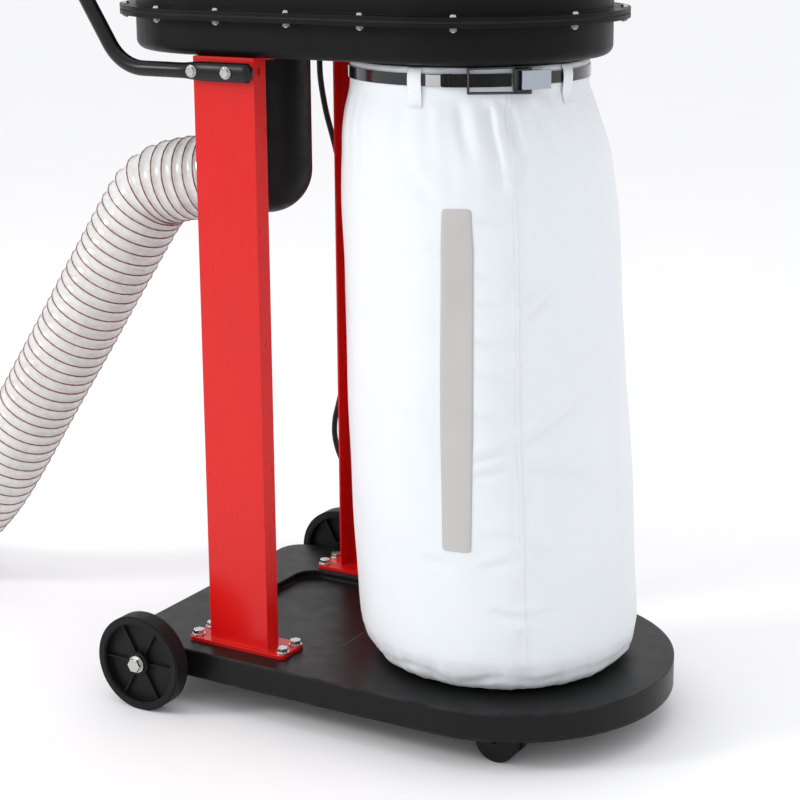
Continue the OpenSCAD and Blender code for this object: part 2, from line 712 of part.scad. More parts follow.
handle_y = column_out + handle_d / 2;
bend_r = 60;
bend_run = bend_r * tan(handle_rise / 2);
rise_l = (crossbar_z - handle_z) / sin(handle_rise);

bend_steps = 6;
handle_front = 48;          // from the column centre

// Middle line of one side of the handle, from its front end to the crossbar. side is -1 or 1.
function handle_side(side) = concat(
    [[col_x + handle_front, side * handle_y, handle_z]],
    [for (i = [0 : bend_steps]) let (a = handle_rise * i / bend_steps)
        [col_x + handle_corner + bend_run - bend_r * sin(a), side * handle_y, handle_z + bend_r * (1 - cos(a))]],
    [for (i = [0 : bend_steps]) let (a = 90 * i / bend_steps, up = rise_l - bend_r * (1 - sin(a)))
        [col_x + handle_corner - up * cos(handle_rise), side * (handle_y - bend_r * (1 - cos(a))),
            handle_z + up * sin(handle_rise)]]);

handle_points = let (left = handle_side(1))
    concat(handle_side(-1), [for (i = [len(left) - 1 : -1 : 0]) left[i]]);

module push_handle() color([0.04, 0.04, 0.045]) difference() {
    swept_rod(handle_points, handle_d / 2, 24, [sin(handle_rise), 0, cos(handle_rise)]);
    at_handle_screws() translate([0, 0, -20]) cylinder(r = 3.3, h = 40);
}

module at_handle_screws() for (x = handle_screw_x, s = [-1, 1])
    translate([col_x + x, s * handle_y, handle_z]) rotate([-s * 90, 0, 0]) children();

module handle_screws() color("silver") at_handle_screws() {
    translate([0, 0, handle_d / 2]) cylinder(r = 6, h = 3);
    translate([0, 0, -handle_d / 2 - 8]) cylinder(r = 3, h = handle_d + 8);
}

// ---- rear wheels ----

wheel_in = wheel_out - wheel_w;
axle_r = 6;

module wheel() {
    difference() {
        rotate_extrude() {
            translate([axle_r + run, 0]) square([9, wheel_w]);
            translate([axle_r + 4, wheel_w / 2 - 2]) square([44, 4]);
            translate([52, 1]) square([wheel_r - 52, wheel_w - 2]);
            translate([54, 0]) square([wheel_r - 56, wheel_w]);
        }
    }
    for (a = [0 : 60 : 300]) rotate([0, 0, a]) translate([13, -1.2, wheel_w / 2 + 1]) cube([41, 2.4, 5.5]);
    for (a = [0 : 60 : 300]) rotate([0, 0, a]) translate([13, -1.2, 4]) cube([41, 2.4, 7]);
}

module right_wheel() color([0.06, 0.06, 0.06]) translate([col_x - axle_back, -wheel_in, wheel_r])
    rotate([90, 0, 0]) wheel();
module left_wheel() color([0.06, 0.06, 0.06]) mirror([0, 1, 0]) translate([col_x - axle_back, -wheel_in, wheel_r])
    rotate([90, 0, 0]) wheel();

// Each axle bolt's own axis points outwards from the skirt.
module at_axles() for (s = [-1, 1]) mirror([0, s > 0 ? 1 : 0, 0])
    translate([col_x - axle_back, -base_half_w, wheel_r]) rotate([90, 0, 0]) children();

axle_gap = wheel_in - base_half_w;
side_play = 0.5;

module axle_bolts() color("silver") at_axles() {
    translate([0, 0, -16]) cylinder(r = axle_r, h = 16 + axle_gap + wheel_w + side_play);
    translate([0, 0, axle_gap + wheel_w + side_play]) cylinder(r = 11, h = 2);
    translate([0, 0, axle_gap + wheel_w + side_play + 2]) hex(16, 6);
}

module axle_spacers() color([0.2, 0.2, 0.2]) at_axles() ring(11, axle_r + run, axle_gap - side_play);

module axle_nuts() color("silver") at_axles() translate([0, 0, -sheet - 8]) difference() {
    hex(18, 8);
    translate([0, 0, -1]) cylinder(r = axle_r + run, h = 10);
}

// ---- casters ----

caster_trail = 15;          // swivel axis to wheel axle
caster_wheel_w = 15.5;
hood_r = caster_r + 2.5;
caster_gap = 9;             // between the twin wheels
caster_top = base_top - sheet;

module caster_plate() translate([col_x + caster_stem_x, -caster_stem_y, caster_top - 3]) {
    linear_extrude(3) rounded_square(46, 46, 5);
    translate([0, 0, -8]) cylinder(r = 5, h = 9);
}

module caster_hood() translate([col_x + caster_stem_x, -caster_stem_y, 0]) difference() {
    union() {
        translate([0, 0, caster_top - 15]) cylinder(r = 13, h = 10);
        translate([-4, -4, caster_r]) cube([caster_trail + 8, 8, caster_top - caster_r - 12]);
        translate([caster_trail, 0, caster_r]) rotate([90, 0, 0]) intersection() {
            difference() {
                cylinder(r = hood_r, h = 2 * caster_wheel_w + caster_gap - 1, center = true);
                for (s = [-1, 1]) translate([0, 0, s * (caster_gap / 2 + caster_wheel_w)])
                    cylinder(r = caster_r + 1, h = 2 * caster_wheel_w + 0.8, center = true);
            }
            translate([-60, 3, -60]) cube([120, 60, 120]);
        }
        translate([caster_trail, 0, caster_r]) rotate([90, 0, 0])
            cylinder(r = 4, h = 2 * caster_wheel_w + caster_gap - 6, center = true);
    }
    translate([0, 0, caster_top - 12]) cylinder(r = 5 + run, h = 20);
}

module caster_wheels() translate([col_x + caster_stem_x + caster_trail, -caster_stem_y, caster_r])
    for (s = [-1, 1]) translate([0, s * (caster_gap + caster_wheel_w) / 2, 0]) rotate([90, 0, 0])
        rotate_extrude() {
            translate([4 + run, -caster_wheel_w / 2 + 0.5]) square([caster_r - 7, caster_wheel_w - 1]);
            translate([caster_r - 3, -caster_wheel_w / 2 + 2.5]) square([3, caster_wheel_w - 5]);
            for (y = [-1, 1]) translate([caster_r - 3, y * (caster_wheel_w / 2 - 3.5)]) circle(3);
        }

module right_caster_plate() color("silver") caster_plate();
module right_caster_hood() color([0.06, 0.06, 0.06]) caster_hood();
module right_caster_wheels() color([0.08, 0.08, 0.08]) caster_wheels();
module left_caster_plate() color("silver") mirror([0, 1, 0]) caster_plate();
module left_caster_hood() color([0.06, 0.06, 0.06]) mirror([0, 1, 0]) caster_hood();
module left_caster_wheels() color([0.08, 0.08, 0.08]) mirror([0, 1, 0]) caster_wheels();

// ---- mains cord ----

gland_x = -68;              // from the column centre
gland_y = 150;
gland_l = 28;
cord_r = 4;
cord_route = [[-68, 150, 800], [-68, 151, 776], [-67, 155, 750], [-65, 161, 722], [-62, 169, 694], [-59, 177, 664],
    [-56, 183, 630], [-52, 186, 590], [-50, 187, 545], [-50, 187, 500], [-50, 187, 455], [-52, 187, 410],
    [-56, 187, 370], [-62, 188, 335], [-70, 189, 306], [-77, 190, 282], [-79, 191, 258], [-75, 192, 236],
    [-66, 194, 214], [-54, 198, 190], [-40, 203, 164], [-26, 209, 136], [-13, 216, 108], [-2, 224, 82],
    [8, 232, 58], [19, 240, 36], [32, 247, 18], [49, 253, 8], [69, 259, 4.5], [87, 267, 4.5], [99, 281, 4.5],
    [104, 299, 4.5]];
cord_points = [for (p = cord_route) [col_x + p[0], p[1], p[2]]];
coil_mid_r = 44;
coil_x = 148;               // from the column centre
coil_y = 300;

module cord_gland() color([0.06, 0.06, 0.06]) translate([col_x + gland_x, gland_y, 0]) difference() {
    union() {
        translate([0, 0, head_bottom - gland_l]) cylinder(r1 = 5.5, r2 = 8, h = gland_l - 5);
        translate([0, 0, head_bottom - 5]) cylinder(r = 11, h = 5);
        translate([0, 0, head_bottom - 0.5]) cylinder(r = 6, h = wall + 6.5);
    }
    translate([0, 0, head_bottom + 1]) cylinder(r = cord_r, h = 20);
}

module power_cord() color([0.04, 0.04, 0.04]) swept_rod(cord_points, cord_r, 8, [1, 0.2, 0.1]);

module cord_coil() color([0.04, 0.04, 0.04]) translate([col_x + coil_x, coil_y, 13.3])
    rotate_extrude() translate([coil_mid_r, 0]) {
        square([10, 24], center = true);
        square([20, 16], center = true);
    }

// The plug lies flat, where the coil's last turn runs out along -Y.
module plug() color([0.06, 0.06, 0.06]) translate([col_x + coil_x + coil_mid_r + 6, coil_y - 54, 0]) {
    translate([-17, -36, 0.5]) cube([34, 36, 22]);
    translate([0, 0, 12]) rotate([-90, 0, 0]) cylinder(r1 = 9, r2 = 6, h = 16);
    for (x = [-6.5, 6.5]) translate([x - 0.8, -53, 14]) cube([1.6, 18, 6]);
    translate([0, -35, 7]) rotate([90, 0, 0]) cylinder(r = 2.4, h = 20);
}

// ---- filter ----

collar_r = 150;
collar_h = 24;
filter_z = deck_z + 3;      // underside of the lower ring
skirt_t = 3.2;              // lip of the lower ring that the clamp goes round
lip_h = 21;
ring_h = 37;
pleats = 72;
pleat_d = 22;
cap_z = filter_z + ring_h + filter_h;
lip_r = collar_r + fit + skirt_t;

function pleat_outline(inset) = [for (i = [0 : 2 * pleats - 1])
    let (r = filter_r - inset - (i % 2) * pleat_d) [r * cos(180 * i / pleats), r * sin(180 * i / pleats)]];

module filter_cartridge() color([0.85, 0.85, 0.82]) translate([bag_x, 0, filter_z + ring_h])
    linear_extrude(filter_h) difference() {
        polygon(pleat_outline(0));
        polygon(pleat_outline(1.2));
    }

module filter_rings() color([0.05, 0.05, 0.055]) translate([bag_x, 0, 0]) {
    translate([0, 0, filter_z]) difference() {
        union() {
            cylinder(r = lip_r, h = lip_h + 1);
            translate([0, 0, lip_h]) cylinder(r = filter_r + 3, h = ring_h - lip_h);
        }
        translate([0, 0, -1]) cylinder(r = collar_r + fit, h = lip_h + 2);
        cylinder(r = collar_r - 4, h = ring_h + 1);
    }
    translate([0, 0, cap_z]) ring(filter_r + 3, 60, 4);
}

module filter_cap() color([0.05, 0.05, 0.055]) translate([bag_x, 0, cap_z + 4]) difference() {
    rotate_extrude() {
        square([filter_r - 9, 16]);
        square([filter_r + 3, 4]);
        translate([filter_r - 9, 4]) intersection() {
            circle(12);
            square(12);
        }
    }
    difference() {
        translate([0, 0, -1]) cylinder(r = filter_r - 14, h = 15);
        cylinder(r = 16, h = 20);
    }
    translate([0, 0, -1]) cylinder(r = 8 + run, h = 30);
}

module filter_clamp() color([0.7, 0.7, 0.72]) translate([bag_x, 0, filter_z + 4]) {
    ring(lip_r + 1.5, lip_r, 12);
    for (s = [-1, 1]) translate([lip_r + 1, s * 10 - 2, 0]) cube([14, 4, 12]);
    translate([lip_r + 9, 0, 6]) rotate([90, 0, 0]) cylinder(r = 3, h = 34, center = true);
}

crank_z = cap_z + 20;

module flapper_crank() color([0.08, 0.08, 0.085]) translate([bag_x, 0, 0]) {
    translate([0, 0, filter_z + ring_h + 20]) cylinder(r = 8, h = crank_z + 12 - filter_z - ring_h - 20);
    for (z = [filter_z + ring_h + 40, filter_z + ring_h + filter_h - 60])
        translate([-3, -138, z]) cube([6, 276, 24]);
    for (s = [-1, 1]) translate([-1.5, s * 137 - 3, filter_z + ring_h + 40]) cube([3, 6, filter_h - 76]);
    translate([0, 0, crank_z + 1]) cylinder(r = 15, h = 12);
    translate([0, -9, crank_z + 3]) cube([110, 18, 8]);
    translate([110, 0, crank_z + 3]) cylinder(r = 9, h = 8);
    translate([110, 0, crank_z + 10]) cylinder(r1 = 9, r2 = 13, h = 45);
    translate([110, 0, crank_z + 55]) cylinder(r1 = 13, r2 = 8, h = 7);
}

base_tray();
right_column();
left_column();
foot_bolts();
foot_washers();
foot_nuts();
column_top_screws();
lower_housing();
flange_gasket();
upper_housing();
flange_screws();
flange_nuts();
volute();
impeller();
motor_shaft();
motor_housing();
motor_stator();
motor_end_shields();
motor_bearings();
motor_fan();
motor_fan_cowl();
motor_bolts();
capacitor_box();
switch_box();
start_button();
stop_button();
bag_ring();
collection_bag();
bag_window();
bag_strap();
latch_rack();
latch_base();
latch_lever();
latch_bail();
inlet_elbow();
hose_clamp();
hose();
hose_cuff();
push_handle();
handle_screws();
right_wheel();
left_wheel();
axle_bolts();
axle_spacers();
axle_nuts();
right_caster_plate();
right_caster_hood();
right_caster_wheels();
left_caster_plate();
left_caster_hood();
left_caster_wheels();
cord_gland();
power_cord();
cord_coil();
plug();
filter_cartridge();
filter_rings();
filter_cap();
filter_clamp();
flapper_crank();
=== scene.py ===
"""Visual model of a mobile dust collector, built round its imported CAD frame. Metres, in the CAD's frame."""
import json
import math
import random

import bmesh
import bpy
from mathutils import Matrix, Vector, noise


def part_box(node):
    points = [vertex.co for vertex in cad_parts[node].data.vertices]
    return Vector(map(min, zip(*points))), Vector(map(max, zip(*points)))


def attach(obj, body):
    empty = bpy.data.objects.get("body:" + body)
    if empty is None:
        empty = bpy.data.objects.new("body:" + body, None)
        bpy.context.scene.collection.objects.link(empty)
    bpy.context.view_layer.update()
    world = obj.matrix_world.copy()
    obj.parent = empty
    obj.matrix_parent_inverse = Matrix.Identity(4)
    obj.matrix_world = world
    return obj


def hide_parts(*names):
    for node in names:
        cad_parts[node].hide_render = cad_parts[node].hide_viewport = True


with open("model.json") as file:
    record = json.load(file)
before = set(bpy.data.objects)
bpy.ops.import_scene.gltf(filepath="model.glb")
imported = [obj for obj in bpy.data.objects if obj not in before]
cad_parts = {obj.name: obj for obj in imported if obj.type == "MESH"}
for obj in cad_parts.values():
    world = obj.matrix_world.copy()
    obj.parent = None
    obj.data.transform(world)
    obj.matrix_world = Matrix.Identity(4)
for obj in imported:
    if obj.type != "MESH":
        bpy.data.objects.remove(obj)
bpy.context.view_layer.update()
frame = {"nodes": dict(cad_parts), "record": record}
rng = random.Random(7)
MM = 0.001


def centre(node):
    lo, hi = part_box(node)
    return (lo + hi) / 2


COL_X = centre("right_column").x
FAN_X = centre("motor_fan_cowl").x
BAG_X = centre("bag_ring").x


def place(name, data):
    obj = bpy.data.objects.new(name, data)
    bpy.context.scene.collection.objects.link(obj)
    return obj


# ---------------------------------------------------------------- camera

LENS, SENSOR, SHIFT_Y = 87.75, 36, -0.08
CAMERA_AT = (1.2561, -2.0896, 1.0338)
PITCH, AZIMUTH, ROLL = (math.radians(a) for a in (13.192, 30.342, -0.436))


def make_camera():
    data = bpy.data.cameras.new("camera")
    data.lens, data.sensor_width, data.shift_y, data.clip_end = LENS, SENSOR, SHIFT_Y, 50
    cam = place("camera", data)
    right = Vector((math.cos(AZIMUTH), math.sin(AZIMUTH), 0))
    level = Vector((-math.sin(AZIMUTH), math.cos(AZIMUTH), 0))
    look = level * math.cos(PITCH) - Vector((0, 0, math.sin(PITCH)))
    up = right.cross(look)
    right, up = (right * math.cos(ROLL) + up * math.sin(ROLL), up * math.cos(ROLL) - right * math.sin(ROLL))
    turn = Matrix((right, up, -look)).transposed()
    cam.matrix_world = Matrix.Translation(CAMERA_AT) @ turn.to_4x4()
    bpy.context.scene.camera = cam


make_camera()
bpy.context.scene.view_settings.view_transform = "Standard"

# ---------------------------------------------------------------- mesh helpers


def new_object(name, verts, faces, uvs=None, flat=False):
    mesh = bpy.data.meshes.new(name)
    mesh.from_pydata([tuple(v) for v in verts], [], faces)
    if uvs is not None:
        layer = mesh.uv_layers.new(name="UVMap")
        for loop in mesh.loops:
            layer.data[loop.index].uv = uvs[loop.vertex_index]
    mesh.validate()
    mesh.polygons.foreach_set("use_smooth", [not flat] * len(mesh.polygons))
    return place(name, mesh)


def finish_piece(obj, slot, mat=None, replaces=()):
    """Every piece made here belongs to the chassis. mat is given where it isn't the slot's own."""
    obj.data.materials.append(mat or MATS[slot])
    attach(obj, "chassis")
    if replaces:
        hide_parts(*replaces)
    return obj


def modifier(obj, kind, **settings):
    m = obj.modifiers.new(kind.title(), kind)
    for key, value in settings.items():
        setattr(m, key, value)


def ring_grid(rings, closed_ring=True, caps=False):
    """Faces between equal rings of points, listed ring after ring."""
    n = len(rings[0])
    verts = [p for ring in rings for p in ring]
    faces = []
    for i in range(len(rings) - 1):
        for j in range(n if closed_ring else n - 1):
            k = (j + 1) % n
            faces.append((i * n + j, i * n + k, (i + 1) * n + k, (i + 1) * n + j))
    if caps:
        faces.append(tuple(range(n - 1, -1, -1)))
        faces.append(tuple(range((len(rings) - 1) * n, len(rings) * n)))
    return verts, faces


def catmull(points, step):
    """A smooth line through the points, sampled about every step metres."""
    p = [Vector(q) for q in points]
    p = [2 * p[0] - p[1]] + p + [2 * p[-1] - p[-2]]
    fine = []
    for a, b, c, d in zip(p, p[1:], p[2:], p[3:]):
        count = max(4, int((c - b).length / step) * 3)
        for i in range(count):
            t = i / count
            fine.append(0.5 * (2 * b + (c - a) * t + (2 * a - 5 * b + 4 * c - d) * t * t
                               + (3 * b - a - 3 * c + d) * t ** 3))
    fine.append(p[-2])
    reach = [0.0]
    for a, b in zip(fine, fine[1:]):
        reach.append(reach[-1] + (b - a).length)
    count = max(2, round(reach[-1] / step))
    out, k = [], 0
    for i in range(count + 1):
        s = reach[-1] * i / count
        while k < len(reach) - 2 and reach[k + 1] < s:
            k += 1
        share = (s - reach[k]) / max(reach[k + 1] - reach[k], 1e-9)
        out.append(fine[k].lerp(fine[k + 1], min(1, share)))
    return out, reach[-1]


def frames_along(points, side):
    """(point, sideways, upward) at each point. side is never parallel to the line."""
    out = []
    for i, p in enumerate(points):
        t = (points[min(i + 1, len(points) - 1)] - points[max(i - 1, 0)]).normalized()
        u = t.cross(side).normalized()
        out.append((p, u, t.cross(u)))
    return out


def curve(name, lines, radius, resolution=2):
    """Round wire along each of the lines."""
    data = bpy.data.curves.new(name, "CURVE")
    data.dimensions = "3D"
    data.bevel_depth, data.bevel_resolution, data.use_fill_caps = radius, resolution, True
    for line in lines:
        spline = data.splines.new("POLY")
        spline.points.add(len(line) - 1)
        for q, p in zip(spline.points, line):
            q.co = (*p, 1)
    return place(name, data)


def round_angles(n):
    """n equal steps of a full turn."""
    return [2 * math.pi * j / n for j in range(n)]


def lookup(table, z, column=1):
    """Straight-line value of a column at z, between the rows of a table that starts each row with z."""
    table = sorted(table)
    if z <= table[0][0]:
        return table[0][column]
    for a, b in zip(table, table[1:]):
        if z <= b[0]:
            return a[column] + (b[column] - a[column]) * (z - a[0]) / (b[0] - a[0])
    return table[-1][column]


def smooth(lo, hi, x):
    """Eases from zero at lo to one at hi."""
    t = max(0.0, min(1.0, (x - lo) / (hi - lo)))
    return t * t * (3 - 2 * t)


def rounded_box(name, size, radius):
    bm = bmesh.new()
    bmesh.ops.create_cube(bm, size=1)
    bmesh.ops.scale(bm, vec=size, verts=bm.verts)
    bmesh.ops.bevel(bm, geom=bm.edges[:], offset=radius, segments=3, profile=0.5, affect="EDGES")
    mesh = bpy.data.meshes.new(name)
    bm.to_mesh(mesh)
    bm.free()
    mesh.polygons.foreach_set("use_smooth", [True] * len(mesh.polygons))
    return place(name, mesh)


# ---------------------------------------------------------------- materials


class Nodes:
    """A small builder for one material's nodes."""

    def __init__(self, name):
        self.mat = bpy.data.materials.new(name)
        self.mat.use_nodes = True
        self.tree = self.mat.node_tree
        self.tree.nodes.clear()
        self.out = self.tree.nodes.new("ShaderNodeOutputMaterial")
        self.bsdf = self.tree.nodes.new("ShaderNodeBsdfPrincipled")
        self.link(self.bsdf.outputs[0], self.out.inputs["Surface"])
        self.coord = self.tree.nodes.new("ShaderNodeTexCoord")

    def link(self, a, b):
        self.tree.links.new(a, b)

    def set(self, **values):
        for key, value in values.items():
            self.bsdf.inputs[key.replace("_", " ")].default_value = value

    def node(self, kind, inputs=None, **props):
        n = self.tree.nodes.new(kind)
        for key, value in props.items():
            setattr(n, key, value)
        for key, value in (inputs or {}).items():
            if isinstance(value, bpy.types.NodeSocket):
                self.link(value, n.inputs[key])
            else:
                n.inputs[key].default_value = value
        return n

    def noise(self, scale, detail=4, rough=0.5, stretch=None, uv=False, distortion=0.0):
        source = self.coord.outputs["UV" if uv else "Object"]
        if stretch:
            source = self.node("ShaderNodeMapping", {"Vector": source, "Scale": stretch}).outputs[0]
        n = self.node("ShaderNodeTexNoise", {"Vector": source, "Scale": scale, "Detail": detail,
                                             "Roughness": rough, "Distortion": distortion})
        return n.outputs[0]

    def ramp(self, value, stops):
        n = self.node("ShaderNodeValToRGB", {"Fac": value})
        ramp = n.color_ramp
        while len(ramp.elements) < len(stops):
            ramp.elements.new(0.5)
        for e, (pos, colour) in zip(ramp.elements, stops):
            e.position = pos
            e.color = (*colour, 1) if hasattr(colour, "__len__") else (colour, colour, colour, 1)
        return n.outputs["Color"]

    def mix(self, fac, a, b):
        n = self.tree.nodes.new("ShaderNodeMix")
        n.data_type = "RGBA"
        for index, value in ((0, fac), (6, a), (7, b)):
            if isinstance(value, bpy.types.NodeSocket):
                self.link(value, n.inputs[index])
            elif index:
                n.inputs[index].default_value = (*value, 1)
            else:
                n.inputs[index].default_value = value
        return n.outputs[2]

    def maths(self, op, a, b=0.0):
        n = self.tree.nodes.new("ShaderNodeMath")
        n.operation = op
        for index, value in ((0, a), (1, b)):
            if isinstance(value, bpy.types.NodeSocket):
                self.link(value, n.inputs[index])
            else:
                n.inputs[index].default_value = value
        return n.outputs[0]

    def bump(self, height, strength, distance, normal=None):
        n = self.node("ShaderNodeBump", {"Height": height, "Strength": strength, "Distance": distance})
        if normal is not None:
            self.link(normal, n.inputs["Normal"])
        return n.outputs[0]

    def colour(self, socket):
        self.link(socket, self.bsdf.inputs["Base Color"])

    def rough(self, socket):
        self.link(socket, self.bsdf.inputs["Roughness"])

    def normal(self, socket):
        self.link(socket, self.bsdf.inputs["Normal"])


DUST = (0.30, 0.28, 0.26)


def painted(name, base, worn_and_rim_highlight, rough, coat=0.0, peel=0.12, dust=0.0, edge=0.0012, shine=0.3):
    """Sheet-metal paint: orange peel, faint scuffs, dust, and edges rubbed a little lighter; on the tray this
    lighter edge colour is a painted highlight along its rims.
    """
    m = Nodes(name)
    bevel = m.node("ShaderNodeBevel", {"Radius": edge}, samples=4)
    geometry = m.tree.nodes.new("ShaderNodeNewGeometry")
    dot = m.node("ShaderNodeVectorMath", {0: bevel.outputs[0], 1: geometry.outputs["Normal"]},
                 operation="DOT_PRODUCT")
    edges = m.ramp(dot.outputs["Value"], [(0.90, 1.0), (0.995, 0.0)])
    patches = m.noise(22, 6, 0.6)
    wear_and_highlight_mask = m.maths("MULTIPLY", edges, m.ramp(patches, [(0.42, 0.0), (0.62, 0.8)]))
    tone = m.mix(m.noise(6, 5, 0.6), [c * 0.88 for c in base], [min(1, c * 1.10) for c in base])
    # Edges coloured lighter: rubbed paint, and on the tray a painted highlight along the rims.
    tone = m.mix(wear_and_highlight_mask, tone, worn_and_rim_highlight)
    if dust:
        specks = m.ramp(m.noise(160, 3, 0.7), [(0.62, 0.0), (0.78, dust)])
        tone = m.mix(specks, tone, DUST)
    m.colour(tone)
    scuffs = m.noise(34, 7, 0.65, stretch=(1, 1, 0.35))
    m.rough(m.ramp(scuffs, [(0.30, rough * 0.88), (0.72, min(1, rough * 1.25))]))
    m.set(Coat_Weight=coat, Coat_Roughness=0.12, Specular_IOR_Level=shine)
    m.normal(m.bump(m.noise(420, 2, 0.5), peel, 0.0004, bevel.outputs[0]))
    return m.mat


def metal(name, base, rough, grain=None, tint=None):
    """Plated or machined metal with a faint grain, stains and softened edges."""
    m = Nodes(name)
    bevel = m.node("ShaderNodeBevel", {"Radius": 0.0006}, samples=4)
    stain = m.noise(70, 5, 0.6)
    m.colour(m.mix(stain, [c * 0.78 for c in base], tint or base))
    m.rough(m.ramp(m.noise(130, 5, 0.6, stretch=grain), [(0.3, rough * 0.7), (0.7, rough * 1.5)]))
    m.set(Metallic=1.0)
    m.normal(m.bump(m.noise(700, 3, 0.6, stretch=grain), 0.10, 0.0002, bevel.outputs[0]))
    return m.mat


def plastic(name, base, rough, texture=0.10, scale=900):
    """Moulded plastic or rubber: fine spark texture, slight mottling and scuffs."""
    m = Nodes(name)
    bevel = m.node("ShaderNodeBevel", {"Radius": 0.0009}, samples=4)
    tone = m.mix(m.noise(14, 5, 0.6), [c * 0.82 for c in base], [min(1, c * 1.20) for c in base])
    scratches = m.ramp(m.noise(60, 8, 0.75, stretch=(1, 3, 0.6), distortion=0.6), [(0.66, 0.0), (0.76, 0.35)])
    m.colour(m.mix(scratches, tone, [min(1, c * 1.8 + 0.015) for c in base]))
    m.rough(m.ramp(m.noise(45, 6, 0.6), [(0.3, rough * 0.82), (0.7, min(1, rough * 1.3))]))
    m.set(Specular_IOR_Level=0.22)
    m.normal(m.bump(m.noise(scale, 2, 0.6), texture, 0.0003, bevel.outputs[0]))
    return m.mat


def fabric():
    """Closely woven white filter cloth: crossed threads, soft sheen and light passing through."""
    m = Nodes("bag_fabric")
    threads = [m.node("ShaderNodeTexWave", {"Vector": m.coord.outputs["UV"], "Scale": 330, "Distortion": 1.2,
                                            "Detail": 2, "Detail Scale": 3}, bands_direction=axis)
               for axis in ("X", "Y")]
    weave = m.maths("MULTIPLY", *(n.outputs["Fac"] for n in threads))
    crease = m.noise(26, 6, 0.55, uv=True, distortion=0.4)
    soil = m.noise(7, 5, 0.6)
    tone = m.mix(soil, (0.79, 0.795, 0.82), (0.86, 0.86, 0.87))
    m.colour(m.mix(m.maths("MULTIPLY", weave, 0.10), tone, (0.70, 0.71, 0.73)))
    m.rough(m.ramp(crease, [(0.3, 0.62), (0.7, 0.80)]))
    m.set(Sheen_Weight=0.25, Sheen_Roughness=0.5, Subsurface_Weight=0.12, Subsurface_Scale=0.01)
    fine = m.bump(weave, 0.22, 0.0003)
    m.normal(m.bump(crease, 0.30, 0.0016, fine))
    return m.mat


def window_film():
    """The window strip: clouded film, a little wavy."""
    m = Nodes("window_film")
    haze = m.noise(18, 6, 0.6)
    m.colour(m.mix(haze, (0.47, 0.46, 0.445), (0.53, 0.52, 0.505)))
    m.rough(m.ramp(m.noise(60, 5, 0.6, stretch=(1, 1, 0.25)), [(0.3, 0.34), (0.7, 0.50)]))
    m.normal(m.bump(haze, 0.18, 0.002))
    return m.mat


def hose_film():
    """Clear polyurethane film, slightly cloudy, with fine running marks round each turn."""
    m = Nodes("hose_film")
    cloud = m.noise(30, 6, 0.65)
    m.colour(m.mix(cloud, (0.80, 0.79, 0.77), (0.92, 0.92, 0.91)))
    m.rough(m.ramp(m.noise(90, 4, 0.6), [(0.3, 0.14), (0.7, 0.30)]))
    m.link(m.ramp(cloud, [(0.3, 0.50), (0.7, 0.70)]), m.bsdf.inputs["Alpha"])
    m.set(Coat_Weight=0.7, Coat_Roughness=0.05)
    m.normal(m.bump(m.noise(240, 3, 0.6, stretch=(1, 0.3, 1)), 0.12, 0.0006))
    return m.mat


def paper():
    """Pleated filter paper, unevenly greyed by dust."""
    m = Nodes("filter_paper")
    fibres = m.noise(260, 6, 0.7)
    m.colour(m.mix(m.noise(9, 5, 0.6), (0.66, 0.65, 0.60), (0.80, 0.79, 0.75)))
    m.rough(m.ramp(fibres, [(0.3, 0.80), (0.7, 0.95)]))
    m.normal(m.bump(fibres, 0.35, 0.0006))
    return m.mat


def windings():
    """Enamelled copper wire, turn upon turn."""
    m = Nodes("copper_windings")
    wire = m.node("ShaderNodeTexWave", {"Vector": m.coord.outputs["Object"], "Scale": 160, "Distortion": 2,
                                        "Detail": 2}, bands_direction="Z")
    m.colour(m.mix(wire.outputs["Fac"], (0.28, 0.10, 0.03), (0.62, 0.27, 0.10)))
    m.rough(m.ramp(wire.outputs["Fac"], [(0.2, 0.45), (0.8, 0.25)]))
    m.set(Metallic=0.8)
    m.normal(m.bump(wire.outputs["Fac"], 0.5, 0.0006))
    return m.mat


MATS = {
    # The tray's lighter edge colour is a painted highlight along its rims as well as rubbed paint.
    "tray_paint": painted("tray_paint", (0.005, 0.0047, 0.0045), (0.050, 0.052, 0.056), 0.34,
                          peel=0.08, dust=0.05, edge=0.005, shine=0.2),
    "red_paint": painted("red_paint", (0.64, 0.006, 0.005), (0.72, 0.06, 0.05), 0.28, coat=0.10, peel=0.04),
    "housing_paint": painted("housing_paint", (0.004, 0.004, 0.0045), (0.03, 0.03, 0.03), 0.40,
                             peel=0.25, shine=0.13),
    "strap_paint": painted("strap_paint", (0.012, 0.012, 0.013), (0.35, 0.35, 0.36), 0.14,
                           coat=0.6, peel=0.05, edge=0.0004),
    "handle_paint": painted("handle_paint", (0.005, 0.005, 0.0055), (0.05, 0.05, 0.05), 0.28,
                            coat=0.05, shine=0.25),
    "zinc_steel": metal("zinc_steel", (0.50, 0.52, 0.55), 0.20, tint=(0.66, 0.65, 0.60)),
    "bare_steel": metal("bare_steel", (0.58, 0.58, 0.60), 0.30, grain=(1, 1, 6)),
    "cast_aluminium": metal("cast_aluminium", (0.40, 0.41, 0.43), 0.48),
    "lever_chrome": metal("lever_chrome", (0.60, 0.60, 0.61), 0.16, tint=(0.36, 0.43, 0.54)),
    "latch_wire": metal("latch_wire", (0.09, 0.09, 0.10), 0.30),
    "copper_windings": windings(),
    "gasket_rubber": plastic("gasket_rubber", (0.03, 0.03, 0.03), 0.7, texture=0.3, scale=500),
    "black_plastic": plastic("black_plastic", (0.0045, 0.0045, 0.005), 0.50),
    "green_plastic": plastic("green_plastic", (0.02, 0.34, 0.07), 0.32, texture=0.05),
    "red_plastic": plastic("red_plastic", (0.62, 0.02, 0.02), 0.32, texture=0.05),
    "cord_rubber": plastic("cord_rubber", (0.018, 0.018, 0.018), 0.5, texture=0.2, scale=700),
    "bag_fabric": fabric(),
    "window_film": window_film(),
    "hose_plastic": hose_film(),
    "filter_paper": paper(),
}
